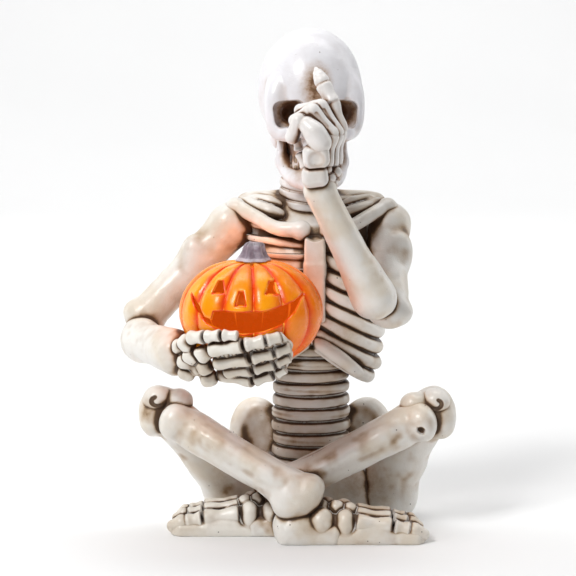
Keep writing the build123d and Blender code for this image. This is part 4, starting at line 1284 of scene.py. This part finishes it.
# Pale coat, its warm patches, tan and dark for the brown antiquing and the painted shade; how strong these
# are, and the film over the open faces.
RESINS = {
    "skull": ((0.84, 0.83, 0.86), (0.76, 0.74, 0.76), (0.40, 0.23, 0.11), (0.13, 0.055, 0.022), 1.0, 0.10),
    "bone": ((0.82, 0.79, 0.74), (0.74, 0.66, 0.55), (0.42, 0.27, 0.14), (0.10, 0.055, 0.028), 1.3, 0.14),
    # The hand that holds the pumpkin and the rear foot's midfoot and toes: a coat whose deepest crevices go
    # darker.
    "darker_crevices": ((0.86, 0.82, 0.75), (0.72, 0.65, 0.55), (0.34, 0.22, 0.12), (0.055, 0.030, 0.016), 1.1, 0.15),
    "hand": ((0.84, 0.81, 0.79), (0.74, 0.69, 0.64), (0.42, 0.26, 0.16), (0.10, 0.045, 0.022), 1.0, 0.12),
    "neck": ((0.86, 0.83, 0.82), (0.77, 0.73, 0.70), (0.46, 0.31, 0.20), (0.12, 0.05, 0.025), 0.8, 0.15),
    "teeth": ((0.52, 0.44, 0.33), (0.42, 0.32, 0.20), (0.25, 0.14, 0.07), (0.05, 0.022, 0.012), 1.1, 0.6),
}
PAINTS = {name: resin(f"{name}_resin", *look) for name, look in RESINS.items()}
PAINTS |= {"pumpkin": pumpkin_paint(), "stem": stem_paint()}

whole = whole_field()
crowd = crowding(whole)
for clay, paint, lumps in made:
    obj = build(clay, lumps, whole, crowd)
    obj.data.materials.append(PAINTS[paint])
    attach(obj, "figure")
    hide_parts(clay.node)

black = plain_paint("black_plastic", (0.018, 0.018, 0.019), (0.032, 0.031, 0.031), 0.45)
CAD_PAINTS = {
    "battery_box": black,
    "battery_door": black,
    "switch_knob": plain_paint("knob_plastic", (0.024, 0.024, 0.025), (0.040, 0.040, 0.040), 0.38),
    "door_screw": plain_paint("plated_screw", (0.50, 0.50, 0.48), (0.62, 0.61, 0.58), 0.30, 1.0),
    "battery_contacts": plain_paint("spring_nickel", (0.58, 0.57, 0.53), (0.70, 0.69, 0.66), 0.26, 1.0),
    "button_cells": plain_paint("cell_nickel", (0.64, 0.64, 0.62), (0.74, 0.73, 0.70), 0.22, 1.0),
    "lamp": lens_paint(),
    "lamp_holder": plain_paint("holder_rubber", (0.030, 0.026, 0.022), (0.050, 0.044, 0.038), 0.62),
    "red_lead": plain_paint("red_insulation", (0.42, 0.015, 0.012), (0.52, 0.024, 0.018), 0.42),
    "black_lead": plain_paint("black_insulation", (0.012, 0.012, 0.013), (0.024, 0.023, 0.023), 0.42),
}
for node, material in CAD_PAINTS.items():
    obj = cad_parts[node]
    obj.data.materials.clear()
    obj.data.materials.append(material)


# ---- Studio -------------------------------------------------------------------------------------------
def studio_paper():
    p = Paint("studio_paper")
    tone = p.ramp(p.noise(3.0, 2), 0.4, 0.6)
    grey = p.mix(tone, (0.86, 0.86, 0.86), (0.847, 0.847, 0.847))
    return p.finish(Base_Color=grey, Roughness=0.9, Specular_IOR_Level=0.1)


def sweep_floor():
    """A floor that curves up into a wall well behind the figure."""
    profile = [(-1.6, 0.0), (0.9, 0.0)]
    profile += [(0.9 + 0.8 * math.sin(a), 0.8 - 0.8 * math.cos(a)) for a in np.linspace(0.1, math.pi / 2, 12)]
    profile += [(1.7, 3.0)]
    mesh = bpy.data.meshes.new("studio_floor")
    vertices = [(x, y, z) for y, z in profile for x in (-3.0, 3.0)]
    faces = [(2 * i, 2 * i + 1, 2 * i + 3, 2 * i + 2) for i in range(len(profile) - 1)]
    mesh.from_pydata(vertices, [], faces)
    mesh.shade_smooth()
    obj = bpy.data.objects.new("studio_floor", mesh)
    bpy.context.scene.collection.objects.link(obj)
    obj.data.materials.append(studio_paper())


def area_light(name, at, look, size, watts):
    data = bpy.data.lights.new(name, "AREA")
    data.shape, data.size, data.size_y = "RECTANGLE", size[0], size[1]
    data.energy = watts
    obj = bpy.data.objects.new(name, data)
    obj.location = at
    obj.rotation_euler = (Vector(look) - Vector(at)).to_track_quat("-Z", "Y").to_euler()
    bpy.context.scene.collection.objects.link(obj)


def lamp_light(name, at, watts, radius, colour):
    data = bpy.data.lights.new(name, "POINT")
    data.energy, data.color, data.shadow_soft_size = watts, colour, radius
    obj = bpy.data.objects.new(name, data)
    obj.location = (vec(*at) + ORIGIN) / 1000
    bpy.context.scene.collection.objects.link(obj)


sweep_floor()
middle = (0.0, 0.0, 0.075)
area_light("key", (-0.45, -0.55, 0.75), middle, (0.30, 0.30), 6.9)
area_light("fill", (0.75, -0.55, 0.35), middle, (0.6, 0.6), 0.4)
area_light("rim_left", (-0.7, 0.35, 0.35), middle, (0.3, 0.7), 1.5)
area_light("rim_right", (0.7, 0.35, 0.35), middle, (0.3, 0.7), 1.6)
area_light("backdrop", (0.0, 0.5, 1.6), (0, 1.5, 0.4), (2.0, 1.0), 28.0)
lamp_light("pumpkin_glow_chest", (-19.0, -16.0, 86.0), 0.0035, 0.006, (1.0, 0.30, 0.06))
lamp_light("pumpkin_glow_inside", (-18.0, -33.0, 70.0), 0.002, 0.005, (1.0, 0.50, 0.10))

world = bpy.data.worlds.new("studio_air")
world.use_nodes = True
world.node_tree.nodes["Background"].inputs[0].default_value = (0.95, 0.97, 1.0, 1)
world.node_tree.nodes["Background"].inputs[1].default_value = 0.06
bpy.context.scene.world = world
bpy.context.scene.view_settings.view_transform = "Standard"

# The camera stands 750 mm from the figure, 8 degrees above the table, square to its front. VIEW_WIDTH is
# what it sees at that distance, in metres, like DISTANCE.
ELEVATION, DISTANCE, VIEW_WIDTH = math.radians(8), 0.75, 0.175104
target = Vector((vec(-7.2, -8.0, 74.0) + ORIGIN) / 1000)
camera_data = bpy.data.cameras.new("camera")
camera_data.sensor_width = 36.0
camera_data.lens = camera_data.sensor_width * DISTANCE / VIEW_WIDTH
camera_data.clip_start, camera_data.clip_end = 0.05, 20
camera = bpy.data.objects.new("camera", camera_data)
camera.location = target + Vector((0, -math.cos(ELEVATION), math.sin(ELEVATION))) * DISTANCE
camera.rotation_euler = (target - camera.location).to_track_quat("-Z", "Y").to_euler()
bpy.context.scene.collection.objects.link(camera)
bpy.context.scene.camera = camera

bpy.context.view_layer.update()
